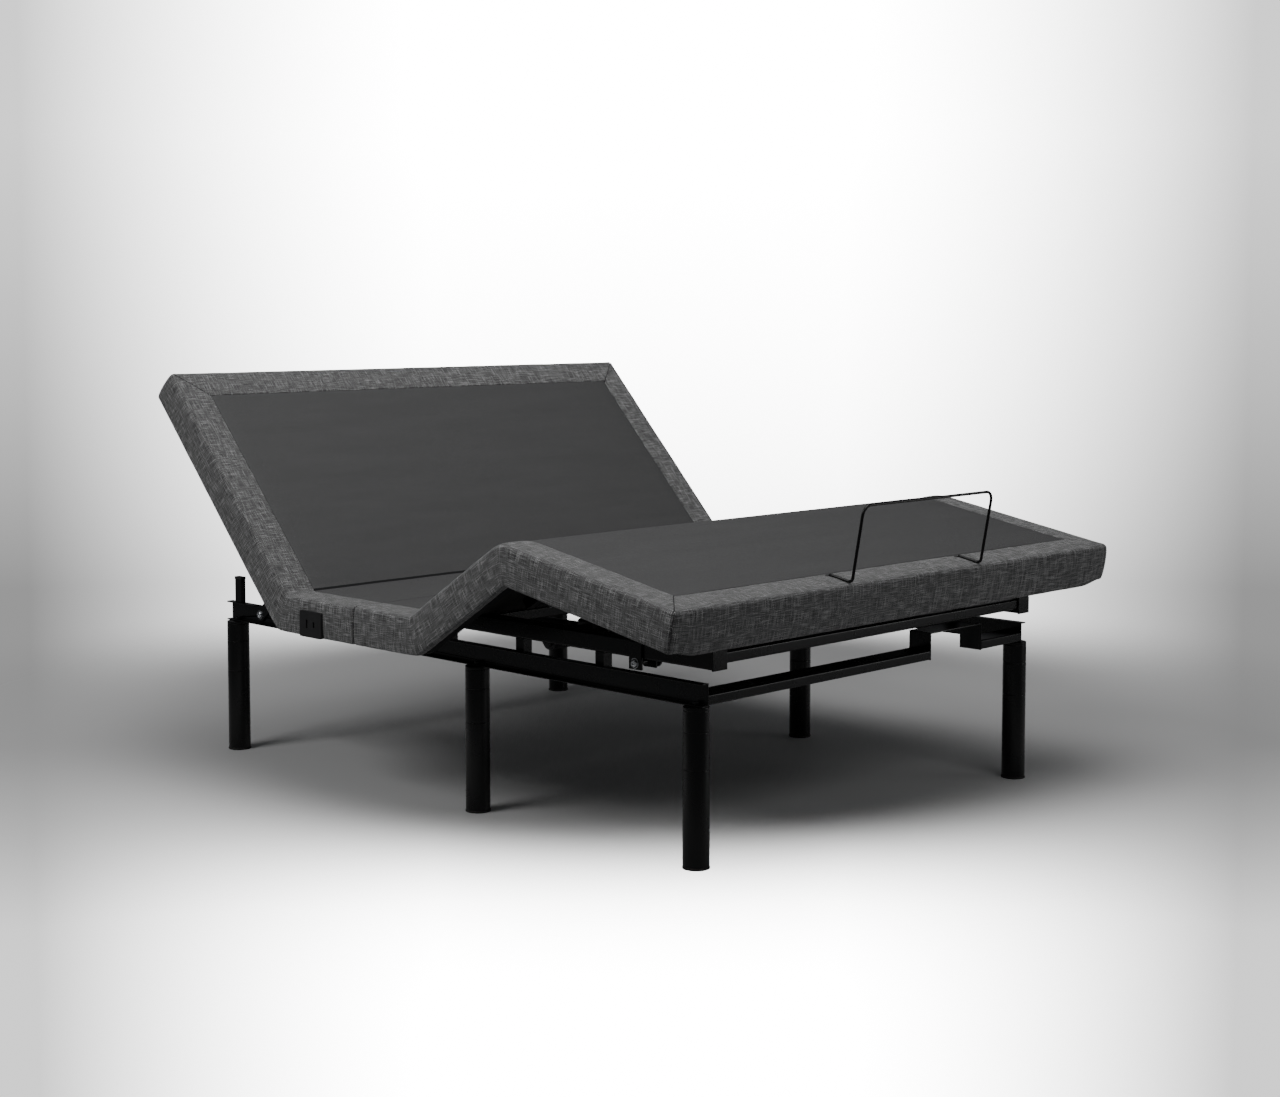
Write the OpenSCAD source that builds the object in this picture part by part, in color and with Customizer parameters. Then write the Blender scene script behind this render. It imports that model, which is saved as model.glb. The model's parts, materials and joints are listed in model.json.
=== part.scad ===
// Adjustable bed base: a steel frame on six legs carries a hinged deck of five
// upholstered panels (head, rear seat, front seat, thigh and foot).
// X runs across the bed, +Y towards the head and +Z up; Z = 0 is the floor.

/* [Deck] */
// Width across the whole deck
deck_w = 1524; // [1400:2:1530]
// Length of the head panel, from its hinge to its free end
head_len = 699; // [680:1:720]
// Distance from the head hinge to the thigh hinge
seat_len = 464; // [460:1:480]
// Length of the thigh panel, hinge to hinge
thigh_len = 341; // [335:1:350]
// Length of the foot panel, from the knee hinge to its free end
foot_len = 501; // [495:1:520]
// Distance from the thigh hinge to the split across the seat
seat_front_len = 202; // [190:1:215]
// Depth of the upholstered panels, top to bottom
deck_t = 87; // [85:1:92]
// Thickness of the plywood boards
board_t = 15; // [12:1:16]
// Thickness of the mesh-covered pads that lie on the boards
pad_t = 6; // [5:1:8]
// Thickness of the padded skirt round the edge
skirt_t = 42; // [36:1:48]
// Width of the fabric border on top, along each side
side_border_w = 83; // [75:1:95]
// Width of the fabric border on top, across the head and foot ends
end_border_w = 78; // [76:1:95]

/* [Pose and travel] */
// Angle of the head panel above level, as modelled
head_rest = 47; // [0:1:60]
// Highest angle of the head panel
head_max = 60; // [60:1:65]
// Angle of the thigh panel above level, as modelled
thigh_rest = 32.5; // [20:0.5:40]
// Highest angle of the thigh panel
thigh_max = 40; // [40:1:42]
// Fold at the knee between the thigh and foot panels, as modelled
knee_rest = 43; // [30:0.5:45]

/* [Frame] */
// Height of the legs, floor to frame
leg_h = 330; // [330:1:340]
// Outside diameter of the legs
leg_d = 55; // [50:1:60]
// Height of the two lower side rails
rail_h = 48; // [46:1:50]
// Distance from the middle legs to the head legs
head_leg_y = 929; // [920:1:935]
// Distance from the middle legs to the foot legs
foot_leg_y = 668; // [660:1:670]
// Width and height of the upper side rails
upper_tube = 38; // [36:1:38]
// Wall thickness of the steel tubes and channels
wall = 3; // [2:0.5:3]

/* [Actuators] */
// Drop from the head hinge to its actuator's line of push
head_horn_h = 105; // [100:1:108]
// Drop from the thigh hinge to its actuator's line of push
thigh_horn_h = 90; // [88:1:95]
// Diameter of the actuator rods
rod_d = 24; // [20:1:26]

/* [Retainer bar] */
// Diameter of the wire
wire_d = 6.5; // [5:0.5:8]
// Height of the bar above the foot panel
wire_h = 172; // [140:1:180]
// Distance between the bar's two uprights
wire_w = 456; // [400:2:500]

/* [Hidden] */
$fn = 48;

// Colours
powder_black = "#1b1b1d";
linen_grey = "#5c5e5f";
mesh_black = "#36373a";
plastic_black = "#202022";
board_black = "#2a2825";
zinc = "#b8bbbe";

// Small gaps and play
turn_gap = 1;          // between a panel and its hinge plane
split_gap = 3.5;       // across the seat split
fit_gap = 0.3;         // between upholstery pieces
slip = 0.05;           // radial play round a pin
lift_gap = 0.3;        // between a folding board and the rail it rests on
weld_gap = 0.2;        // between tubes that are welded together

// Across the bed
half_w = deck_w / 2;
skirt_in = half_w - skirt_t;
border_in = half_w - side_border_w;
rail_inset = 209.2;             // deck edge to the rails' outer face
rail_flange = 16;               // how far the side rails' flanges stand out
leg_offset = 7;                 // middle of the legs, outside the rails' face
web_out = half_w - rail_inset;
web_in = web_out - wall;
flange_out = web_out + rail_flange;
upper_in = web_out - upper_tube;
leg_x = web_out + leg_offset;
subframe_inset = 278;           // deck edge to the tubes under the moving boards
subframe_tube = 25;
subframe_margin = 62;           // those tubes stop this short of the hinges
subframe_out = half_w - subframe_inset;
first_bar = 75;                 // hinge to the middle of the first cross bar
link_t = 6;
link_x = subframe_out + 7;      // inner face of the foot links

// Heights
rail_top = leg_h + rail_h;
riser_h = 27;
upper_bottom = rail_top + riser_h;
upper_top = upper_bottom + upper_tube;
hinge_z = upper_top + lift_gap;
top_w = board_t + pad_t;        // top of a panel above its hinge axis
drop_w = deck_t - top_w;        // bottom of a skirt below its hinge axis

// Along the bed, first from the middle legs
thigh_axis_rel = -15;
head_axis_rel = thigh_axis_rel + seat_len;
foot_slope = knee_rest - thigh_rest;
knee_rel = thigh_axis_rel - thigh_len * cos(thigh_rest);
wire_u = foot_len - 1;
wire_r = wire_d / 2;
wire_top = top_w + wire_h - wire_r;
head_reach = head_axis_rel + head_len * cos(head_rest) + drop_w * sin(head_rest);
foot_reach = knee_rel - wire_u * cos(foot_slope) - wire_top * sin(foot_slope) - wire_r;
mid_y = -(head_reach + foot_reach) / 2;   // middle legs, with the whole bed centred on Y = 0

head_axis_y = mid_y + head_axis_rel;
thigh_axis_y = mid_y + thigh_axis_rel;
knee_y = mid_y + knee_rel;
knee_z = hinge_z + thigh_len * sin(thigh_rest);
leg_ys = [mid_y - foot_leg_y, mid_y, mid_y + head_leg_y];
rail_over = [24.5, 36];         // side rails run past the foot and head legs
upper_over = 41.8;              // upper rails run past the foot legs
rail_foot_y = leg_ys[0] - rail_over[0];
rail_head_y = leg_ys[2] + rail_over[1];
upper_foot_y = leg_ys[0] - upper_over;
upper_head_y = mid_y + 765;
first_riser = -380;             // from the middle legs
riser_step = 250;
riser_ys = [for (i = [0:4]) mid_y + first_riser + riser_step * i];
riser_w = 25;
cap_plate_t = 4;
cap_plate_proud = 3;

// Feet and cross-members
section_joints = [203.5, 279];  // heights of the joints between leg sections
glide_h = 5;
stud_r = 4;
nut_r = 7.5;                    // to the corners of the hexagon
nut_h = 6.5;
cross_deep = 60;
cross_h = 22;
cross_z = leg_h + 3;
bridge_x = [190, 388];
bridge_z = [leg_h + 2, leg_h + 65];

// Diagonal braces and posts at the head end
brace_low = [mid_y + 835, leg_h + 24];
brace_high = [mid_y + 742, upper_bottom + 19];
brace_w = 30;
brace_eye_r = 17;
strap_t = 5;
bolt_r = 10;
bolt_h = 6;
post_y = leg_ys[2] - 7;
post_size = [14, 28];
cap_h = 6;

// Foot link: it pivots under the upper rail and holds up the foot panel. Its upper
// pin lies where the link's length is the same with the bed flat and as modelled.
pivot = [mid_y - 493, upper_bottom - 10];
link_drop = 45;
knee_fold_ratio = knee_rest / thigh_rest;
knee_max = thigh_max * knee_fold_ratio;
function foot_point(u, w, thigh) =
    let (s = (knee_fold_ratio - 1) * thigh,
         ky = thigh_axis_y - thigh_len * cos(thigh),
         kz = hinge_z + thigh_len * sin(thigh))
    [ky - u * cos(s) - w * sin(s), kz - u * sin(s) + w * cos(s)];
function reach2(u, thigh) =
    let (d = foot_point(u, -link_drop, thigh) - pivot) d * d;
function closure(u) = reach2(u, thigh_rest) - reach2(u, 0);
link_u = -closure(0) / (closure(1) - closure(0));
link_vector = foot_point(link_u, -link_drop, thigh_rest) - pivot;
link_len = norm(link_vector);
link_angle = atan2(link_vector[1], link_vector[0]);
pivot_r = 6;
link_pin_r = 5;
link_slot_r = link_pin_r + 4.8;
link_slot_run = 2.6;
link_w = 28;
link_eye_r = [15, 18];          // at the pivot and at the slot
hanger_r = 16;                  // lower end of the plates that carry the link's upper pin
bracket_half = 18;              // half the width of the pivot's plates

// Hinges: three to a joint, each a pair of leaves on one pin
hinge_xs = [-300, 0, 300];
hinge_w = 100;
knuckle_w = 36;
barrel_r = 5;
pin_r = 2.5;
leaf_t = 2.5;
leaf_start = 7;
leaf_end = 58;
board_back = 9;                 // boards stop short of the hinge barrels by this much

// Actuators, each set beside the centre line
act_x = 90;
head_line_z = hinge_z - head_horn_h;
thigh_line_z = hinge_z - thigh_horn_h;
head_pin_flat = head_axis_y - head_horn_h * tan(head_max / 2);
head_pin_rest = head_axis_y + head_horn_h * tan(head_rest - head_max / 2);
thigh_pin_flat = thigh_axis_y + thigh_horn_h * tan(thigh_max / 2);
thigh_pin_rest = thigh_axis_y - thigh_horn_h * tan(thigh_rest - thigh_max / 2);
head_rear_y = head_pin_flat - 330;
thigh_rear_y = thigh_pin_flat + 285;
act_pin_r = 6;
act_tube_r = 20;
gear_y = [17, 72];
gear_half = 35;
lug_half = 9.5;
motor_r = 24;
motor_len = 120;
eye_gap = 20;                   // front of the outer tube to the retracted rod's pin
clevis_half = 10;               // half the space between a clevis's plates
clevis_r = 13;
pin_over = 3;                   // pins stand out this far past the plates they cross
yoke_play = 3.1;                // lets the slot take up the curve of the horn's travel
horn_t = 5;
horn_in = 14;
mount_tube = 25;

// Outlets in the sides of the seat
outlet_y = [head_axis_y - 153, head_axis_y - 73];
outlet_z = [upper_top - 65, upper_top - 5];
outlet_proud = 8;
outlet_body_deep = 40;
outlet_rim = 4;                 // the face plate covers its hole by this much
socket_w = 6;
socket_deep = 16;

// Retainer bar: its sockets and the bends of its wire
socket_u = wire_u - 64;
socket_r = 8;
socket_floor = 2;
low_bend = 9;
top_bend = 22;

// Control box
box_size = [120, 34];
box_y = [mid_y + 110, mid_y + 270];

// ---- Helpers ----

module slab(x, y, z) {
    translate([x[0], y[0], z[0]]) cube([x[1] - x[0], y[1] - y[0], z[1] - z[0]]);
}

module both_sides() {
    children();
    mirror([1, 0, 0]) children();
}

// Rectangle with round corners, centred
module round_rect(w, h, r) {
    square([w - 2 * r, h], center = true);
    square([w, h - 2 * r], center = true);
    for (x = [-1, 1], y = [-1, 1])
        translate([x * (w / 2 - r), y * (h / 2 - r)]) circle(r);
}

module tube_section(w, h, r, t) {
    difference() {
        round_rect(w, h, r);
        square([w - 2 * t, h - 2 * t], center = true);
    }
}

// A flat outline of [Y, Z] points, spread across X
module across(x0, x1) {
    translate([x0, 0, 0]) rotate([90, 0, 90]) linear_extrude(x1 - x0) children();
}

// A flat outline of [X, Z] points, spread along Y
module along(y0, y1) {
    translate([0, y1, 0]) rotate([90, 0, 0]) linear_extrude(y1 - y0) children();
}

module pin_x(r, x0, x1, y, z) {
    translate([x0, y, z]) rotate([0, 90, 0]) cylinder(r = r, h = x1 - x0);
}

// Frames of the panels: +Y runs from the hinge towards the panel's far end
module on_head() {
    translate([0, head_axis_y, hinge_z]) rotate([head_rest, 0, 0]) children();
}

module on_seat_rear() {
    translate([0, head_axis_y, upper_top]) mirror([0, 1, 0]) children();
}

module on_seat_front() {
    translate([0, thigh_axis_y, upper_top]) children();
}

module on_thigh() {
    translate([0, thigh_axis_y, hinge_z]) rotate([-thigh_rest, 0, 0])
        mirror([0, 1, 0]) children();
}

module on_foot() {
    translate([0, knee_y, knee_z]) rotate([foot_slope, 0, 0])
        mirror([0, 1, 0]) children();
}

// ---- Panels ----

// A panel is [length, near fold, near gap, far fold, far gap]. A fold is the largest
// angle at that end: positive where the tops close up, negative where they open.
head_panel = [head_len, head_max, turn_gap, 0, 0];
seat_rear_panel = [seat_len - seat_front_len, head_max, turn_gap, 0, split_gap / 2];
seat_front_panel = [seat_front_len, thigh_max, turn_gap, 0, split_gap / 2];
thigh_panel = [thigh_len, thigh_max, turn_gap, -knee_max, turn_gap];
foot_panel = [foot_len, -knee_max, turn_gap, 0, 0];

function set_back(w, fold, gap) = gap + max(0, w * sign(fold)) * tan(abs(fold) / 2);

// Slab of a panel between two heights, its ends cut back to clear the folds
module panel_slab(p, w0, w1, x0, x1, near = 0, far = 0) {
    levels = w0 < 0 && w1 > 0 ? [w0, 0, w1] : [w0, w1];
    last = len(levels) - 1;
    across(x0, x1) polygon([
        for (w = levels) [set_back(w, p[1], p[2]) + near, w],
        for (i = [last:-1:0]) [p[0] - set_back(levels[i], p[3], p[4]) - far, levels[i]]
    ]);
}

// Distance that a board stops short of a panel's far end
function board_short(fold, free) = fold != 0 ? board_back : free ? skirt_t + fit_gap : 0;

module panel_board(p, free) {
    panel_slab(p, 0, board_t, -skirt_in + fit_gap, skirt_in - fit_gap,
        board_back, board_short(p[3], free));
}

module panel_pad(p, free) {
    panel_slab(p, board_t, top_w, -border_in + fit_gap, border_in - fit_gap,
        0, free ? end_border_w + fit_gap : 0);
}

module side_border(p) {
    panel_slab(p, -drop_w, top_w, skirt_in, half_w);
    panel_slab(p, board_t, top_w, border_in, skirt_in - fit_gap);
}

module end_border(p) {
    skirt_y = [p[0] - skirt_t, p[0]];
    flap_x = [-border_in + fit_gap, border_in - fit_gap];
    slab([-skirt_in + fit_gap, skirt_in - fit_gap], skirt_y, [-drop_w, board_t - fit_gap]);
    slab(flap_x, [p[0] - end_border_w, p[0]], [board_t, top_w]);
}

// Square tubes that stiffen the underside of a folding panel: one along each side and
// cross bars between them
module sub_frame(u0, u1, bars) {
    half = subframe_tube / 2;
    bar_end = subframe_out - subframe_tube - weld_gap;
    for (side = [-1, 1])
        translate([side * (subframe_out - half), 0, -half]) along(u0, u1)
            tube_section(subframe_tube, subframe_tube, 3, 2);
    for (u = bars)
        translate([0, u, -half]) across(-bar_end, bar_end)
            tube_section(subframe_tube, subframe_tube, 3, 2);
}

// Slotted horn that the actuator's pin works in. Its slot points straight down when
// the panel is halfway through its travel.
module horn_plate(drop, fold, x0) {
    half = fold / 2;
    root = first_bar - subframe_tube / 2 - weld_gap;
    near = drop - pin_over;
    far = drop / cos(half) + pin_over;
    slot_r = act_pin_r + yoke_play;
    tip = drop / cos(half);
    tip_r = 20;
    down = [-sin(half), -cos(half)];
    side = [cos(half), -sin(half)];
    across(x0, x0 + horn_t) difference() {
        union() {
            polygon([[root, -1], [root, -subframe_tube], tip * down + tip_r * side,
                tip * down - tip_r * side, [-12, -12], [9, -1]]);
            translate(tip * down) circle(tip_r);
        }
        for (r = [near, far]) translate(r * down) circle(slot_r);
        rotate(-half) translate([-slot_r, -far]) square([2 * slot_r, far - near]);
    }
}

module horn_pair(drop, fold, x) {
    horn_plate(drop, fold, x - horn_in - horn_t);
    horn_plate(drop, fold, x + horn_in);
}

// ---- Hinges ----

// Half of a hinge that carries the pin: its leaf runs towards -Y
module hinge_base(leaf_top) {
    outer = (hinge_w - knuckle_w) / 2;
    for (x = hinge_xs) translate([x, 0, 0]) {
        slab([-hinge_w / 2, hinge_w / 2], [-leaf_end, -leaf_start],
            [leaf_top - leaf_t, leaf_top]);
        for (x0 = [-hinge_w / 2, knuckle_w / 2]) {
            slab([x0, x0 + outer], [-leaf_start - 1, 0], [leaf_top - leaf_t, leaf_top]);
            pin_x(barrel_r, x0, x0 + outer, 0, 0);
        }
        pin_x(pin_r, -hinge_w / 2, hinge_w / 2, 0, 0);
    }
}

// Half of a hinge that turns on the pin: its leaf runs towards +Y
module hinge_leaf() {
    half = knuckle_w / 2 - fit_gap;
    for (x = hinge_xs) translate([x, 0, 0]) {
        slab([-hinge_w / 2, hinge_w / 2], [leaf_start, leaf_end], [-leaf_t, 0]);
        difference() {
            union() {
                slab([-half, half], [0, leaf_start + 1], [-leaf_t, 0]);
                pin_x(barrel_r, -half, half, 0, 0);
            }
            pin_x(pin_r + slip, -half - 1, half + 1, 0, 0);
        }
    }
}

// ---- Lower frame ----

// Channel that opens outwards. A notch in its top flange lets the brace through.
module side_rail() {
    notch = [brace_low[0] - 2.1 * brace_w, brace_low[0] + 13];
    difference() {
        union() {
            slab([web_in, web_out], [rail_foot_y, rail_head_y], [leg_h, rail_top]);
            slab([web_in, flange_out], [rail_foot_y, rail_head_y], [leg_h, leg_h + wall]);
            slab([web_in, flange_out], [rail_foot_y, rail_head_y],
                [rail_top - wall, rail_top]);
        }
        slab([web_out, flange_out + 1], notch, [rail_top - wall - 1, rail_top + 1]);
        for (y = leg_ys) translate([leg_x, y, leg_h - 1]) cylinder(r = stud_r + 0.2, h = wall + 2);
        pin_x(stud_r, web_in - 1, web_out + 1, brace_low[0], brace_low[1]);
    }
}

module side_rail_left() color(powder_black) mirror([1, 0, 0]) side_rail();
module side_rail_right() color(powder_black) side_rail();

module cross_bar(x0, x1, y0) {
    translate([0, y0 + cross_deep / 2, cross_z + cross_h / 2]) across(x0, x1)
        tube_section(cross_deep, cross_h, 4, 2);
}

module foot_crossmember() color(powder_black) {
    cross_bar(-web_in, bridge_x[0], rail_foot_y);
    cross_bar(bridge_x[1], web_in, rail_foot_y);
}

// Raised middle of the foot cross-member, an upside-down U
module crossmember_bridge() color(powder_black) {
    y = [rail_foot_y, rail_foot_y + cross_deep];
    slab([bridge_x[0], bridge_x[0] + wall], y, bridge_z);
    slab([bridge_x[1] - wall, bridge_x[1]], y, bridge_z);
    slab(bridge_x, y, [bridge_z[1] - wall, bridge_z[1]]);
}

module head_crossmember() color(powder_black)
    cross_bar(-web_in, web_in, leg_ys[2] - cross_deep / 2);

// ---- Upper frame ----

module upper_rail() {
    difference() {
        translate([web_out - upper_tube / 2, 0, upper_bottom + upper_tube / 2])
            along(upper_foot_y + cap_plate_t, upper_head_y - cap_plate_t)
            tube_section(upper_tube, upper_tube, 4, 2);
        pin_x(stud_r, web_out - 3, web_out + 1, brace_high[0], brace_high[1]);
    }
}

module upper_rail_left() color(powder_black) mirror([1, 0, 0]) upper_rail();
module upper_rail_right() color(powder_black) upper_rail();

module upper_foot_tube() color(powder_black)
    translate([0, upper_foot_y + cap_plate_t + mount_tube / 2, upper_bottom + 22.5])
        across(-upper_in, upper_in) tube_section(mount_tube, mount_tube, 5, 2);

// Clevis that holds the rear pin of an actuator, hung from its cross tube
module rear_clevis(x, y, z) {
    for (side = [-1, 1]) {
        x0 = side < 0 ? x - clevis_half - horn_t : x + clevis_half;
        difference() {
            union() {
                slab([x0, x0 + horn_t], [y - clevis_r, y + clevis_r], [z, upper_bottom + 1]);
                pin_x(clevis_r, x0, x0 + horn_t, y, z);
            }
            pin_x(act_pin_r + slip, x0 - 1, x0 + horn_t + 1, y, z);
        }
    }
}

module actuator_mount_tubes() color(powder_black) {
    for (y = [head_rear_y, thigh_rear_y])
        translate([0, y, upper_bottom + mount_tube / 2]) across(-upper_in, upper_in)
            tube_section(mount_tube, mount_tube, 3, 2);
    rear_clevis(-act_x, head_rear_y, head_line_z);
    rear_clevis(act_x, thigh_rear_y, thigh_line_z);
}

// Short square posts behind the side rails that carry the upper rails
module frame_risers() color(powder_black) both_sides()
    for (y = riser_ys)
        slab([web_in - riser_w, web_in], [y - riser_w / 2, y + riser_w / 2],
            [leg_h + 10, upper_bottom]);

// End plates of the upper rails. Those at the foot end stand a little proud outside.
module frame_end_caps() color(powder_black) both_sides()
    for (end = [[upper_foot_y, cap_plate_proud], [upper_head_y - cap_plate_t, -weld_gap]])
        slab([upper_in - 1, web_out + end[1]], [end[0], end[0] + cap_plate_t],
            [upper_bottom - 1, upper_top]);

// Flat strap from the side rail up to the end of the upper rail
module head_braces() color(powder_black) both_sides() {
    run = brace_high - brace_low;
    angle = atan2(run[1], run[0]);
    across(web_out, web_out + strap_t) difference() {
        union() {
            translate(brace_low) rotate(angle)
                translate([0, -brace_w / 2]) square([norm(run), brace_w]);
            for (p = [brace_low, brace_high]) translate(p) circle(brace_eye_r);
        }
        for (p = [brace_low, brace_high]) translate(p) circle(stud_r);
    }
}

// Plates each side of the upper rail that hold the foot link's pivot pin below it
module foot_pivot_brackets() color(powder_black) both_sides()
    for (x0 = [upper_in - strap_t, web_out])
        difference() {
            slab([x0, x0 + strap_t], [pivot[0] - bracket_half, pivot[0] + bracket_half],
                [pivot[1] - clevis_r, upper_bottom + 34]);
            pin_x(pivot_r + slip, x0 - 1, x0 + strap_t + 1, pivot[0], pivot[1]);
        }

// Pivot pins with a domed head outside
module foot_pivot_pins() color(zinc) both_sides() {
    pin_x(pivot_r, link_x - pin_over, web_out + strap_t + pin_over, pivot[0], pivot[1]);
    bolt_head(web_out + strap_t, pivot);
    pin_x(pivot_r + 4, link_x + link_t + fit_gap, upper_in - strap_t, pivot[0], pivot[1]);
}

// Round bolt head that stands out from a plate, at a [Y, Z] place
module bolt_head(x, place) {
    translate([x, place[0], place[1]]) rotate([0, 90, 0]) rotate_extrude()
        polygon([[0, 0], [bolt_r, 0], [bolt_r, bolt_h / 2], [0.75 * bolt_r, bolt_h],
            [0, bolt_h]]);
}

module head_rest_posts() color(powder_black) both_sides()
    translate([web_in + post_size[0] / 2, post_y, rail_top])
        linear_extrude(upper_top - rail_top - cap_h)
        tube_section(post_size[0], post_size[1], 2, 2);

// Rubber caps that the head board rests on when the bed is flat
module head_rest_caps() color(plastic_black) both_sides()
    translate([web_in + post_size[0] / 2, post_y, upper_top - cap_h])
        linear_extrude(cap_h) round_rect(post_size[0] + 2, post_size[1] + 2, 3);

// Bolts of the diagonal braces
module brace_bolts() color(zinc) both_sides()
    for (p = [brace_low, brace_high]) {
        bolt_head(web_out + strap_t, p);
        pin_x(stud_r - slip, web_in + 1, web_out + strap_t + 1, p[0], p[1]);
    }

// Blackened nuts on the leg studs
module leg_stud_nuts() color(powder_black) both_sides()
    for (y = leg_ys) translate([leg_x, y, leg_h + wall]) difference() {
        rotate([0, 0, 30]) cylinder(r = nut_r, h = nut_h, $fn = 6);
        translate([0, 0, -1]) cylinder(r = stud_r + slip, h = nut_h + 2);
    }

// ---- Legs ----

// One screw-together length of leg: a tube with a boss below and a stud above
module leg_section(z0, z1) {
    boss = 14;
    plate = 4;
    stud = 12;
    for (side = [-1, 1], y = leg_ys) translate([side * leg_x, y, 0]) {
        difference() {
            translate([0, 0, z0]) cylinder(r = leg_d / 2, h = z1 - z0);
            translate([0, 0, z0 + boss]) cylinder(r = leg_d / 2 - 2.5, h = z1 - z0 - boss - plate);
            translate([0, 0, z0 - 1]) cylinder(r = stud_r + slip, h = boss + 2);
        }
        translate([0, 0, z1 - 1]) cylinder(r = stud_r, h = stud + 1);
    }
}

module leg_upper_sections() color(powder_black) leg_section(section_joints[1], leg_h);
module leg_middle_sections() color(powder_black)
    leg_section(section_joints[0], section_joints[1]);
module leg_lower_sections() color(powder_black) leg_section(glide_h, section_joints[0]);

module leg_glides() color(plastic_black)
    for (side = [-1, 1], y = leg_ys) translate([side * leg_x, y, 0]) {
        cylinder(r = leg_d / 2 + 1, h = glide_h);
        cylinder(r = stud_r, h = glide_h + 10);
    }

// ---- Seat ----

module seat_rear_board() color(board_black) on_seat_rear() panel_board(seat_rear_panel, false);
module seat_rear_pad() color(mesh_black) on_seat_rear() panel_pad(seat_rear_panel, false);
module seat_front_board() color(board_black) on_seat_front()
    panel_board(seat_front_panel, false);
module seat_front_pad() color(mesh_black) on_seat_front() panel_pad(seat_front_panel, false);
module seat_front_border() color(linen_grey) both_sides() on_seat_front()
    side_border(seat_front_panel);

module seat_rear_border() color(linen_grey) both_sides() difference() {
    on_seat_rear() side_border(seat_rear_panel);
    slab([skirt_in - 1, half_w + 1], [outlet_y[0] + outlet_rim, outlet_y[1] - outlet_rim],
        [outlet_z[0] + outlet_rim, outlet_z[1] - outlet_rim]);
}

// Twin outlet: a face plate on the skirt and a body let into it
module outlet() {
    face_x = half_w + outlet_proud;
    inset = outlet_rim + fit_gap;
    size = [outlet_y[1] - outlet_y[0], outlet_z[1] - outlet_z[0]];
    centre = [(outlet_y[0] + outlet_y[1]) / 2, (outlet_z[0] + outlet_z[1]) / 2];
    difference() {
        union() {
            across(half_w, face_x) translate(centre) round_rect(size[0], size[1], outlet_rim);
            slab([half_w - outlet_body_deep, half_w + 1],
                [outlet_y[0] + inset, outlet_y[1] - inset],
                [outlet_z[0] + inset, outlet_z[1] - inset]);
        }
        for (socket = [[13, 20], [-13, 13]])
            slab([face_x - socket_deep, face_x + 1],
                [centre[0] + socket[0] - socket_w / 2, centre[0] + socket[0] + socket_w / 2],
                [centre[1] - socket[1] / 2, centre[1] + socket[1] / 2]);
    }
}

module outlet_left() color(plastic_black) mirror([1, 0, 0]) outlet();
module outlet_right() color(plastic_black) outlet();

// ---- Head panel ----

module head_board() color(board_black) on_head() panel_board(head_panel, true);
module head_pad() color(mesh_black) on_head() panel_pad(head_panel, true);
module head_border() color(linen_grey) on_head() {
    both_sides() side_border(head_panel);
    end_border(head_panel);
}
module head_frame() color(powder_black) on_head() {
    end = head_len - 59;
    sub_frame(subframe_margin, end, [first_bar, 340, end - subframe_tube / 2 - 0.5]);
    horn_pair(head_horn_h, head_max, -act_x);
}
module head_hinge_bases() color(zinc)
    translate([0, head_axis_y, hinge_z]) hinge_base(-lift_gap);
module head_hinge_leaves() color(zinc) on_head() hinge_leaf();

// ---- Thigh panel ----

module thigh_board() color(board_black) on_thigh() panel_board(thigh_panel, false);
module thigh_pad() color(mesh_black) on_thigh() panel_pad(thigh_panel, false);
module thigh_border() color(linen_grey) on_thigh() both_sides() side_border(thigh_panel);
module thigh_frame() color(powder_black) on_thigh() {
    sub_frame(subframe_margin, thigh_len - subframe_margin, [first_bar, thigh_len - first_bar]);
    horn_pair(thigh_horn_h, thigh_max, act_x);
}
module thigh_hinge_bases() color(zinc)
    translate([0, thigh_axis_y, hinge_z]) mirror([0, 1, 0]) hinge_base(-lift_gap);
module thigh_hinge_leaves() color(zinc) on_thigh() hinge_leaf();
module knee_hinge_bases() color(zinc) on_thigh() translate([0, thigh_len, 0]) hinge_base(0);

// ---- Foot panel ----

module socket_holes(r) {
    for (side = [-1, 1]) translate([side * wire_w / 2, socket_u, -1])
        cylinder(r = r, h = top_w + 2);
}

module foot_board() color(board_black) on_foot() difference() {
    panel_board(foot_panel, true);
    socket_holes(socket_r);
}
module foot_pad() color(mesh_black) on_foot() panel_pad(foot_panel, true);
module foot_border() color(linen_grey) on_foot() {
    both_sides() side_border(foot_panel);
    difference() {
        end_border(foot_panel);
        socket_holes(socket_r);
    }
}

// Ladder of tubes with a hanging plate on each side for the foot link's upper pin
module foot_frame() color(powder_black) on_foot() {
    end = link_u + hanger_r;
    sub_frame(subframe_margin, end, [first_bar, end - subframe_tube / 2]);
    both_sides() {
        across(subframe_out, subframe_out + strap_t) union() {
            translate([link_u - hanger_r, -link_drop]) square([2 * hanger_r, link_drop - 1]);
            translate([link_u, -link_drop]) circle(hanger_r);
        }
        pin_x(link_pin_r, subframe_out + 1, link_x + link_t + pin_over, link_u, -link_drop);
    }
}
module knee_hinge_leaves() color(zinc) on_foot() hinge_leaf();

// Quarter bend of the wire, from +Z to +Y, about a centre [Y, Z]
module wire_bend(r, centre, turn) {
    translate([0, centre[0], centre[1]]) rotate([turn, 0, 0]) rotate([0, 90, 0])
        rotate_extrude(angle = 90) translate([r, 0]) circle(wire_r);
}

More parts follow.
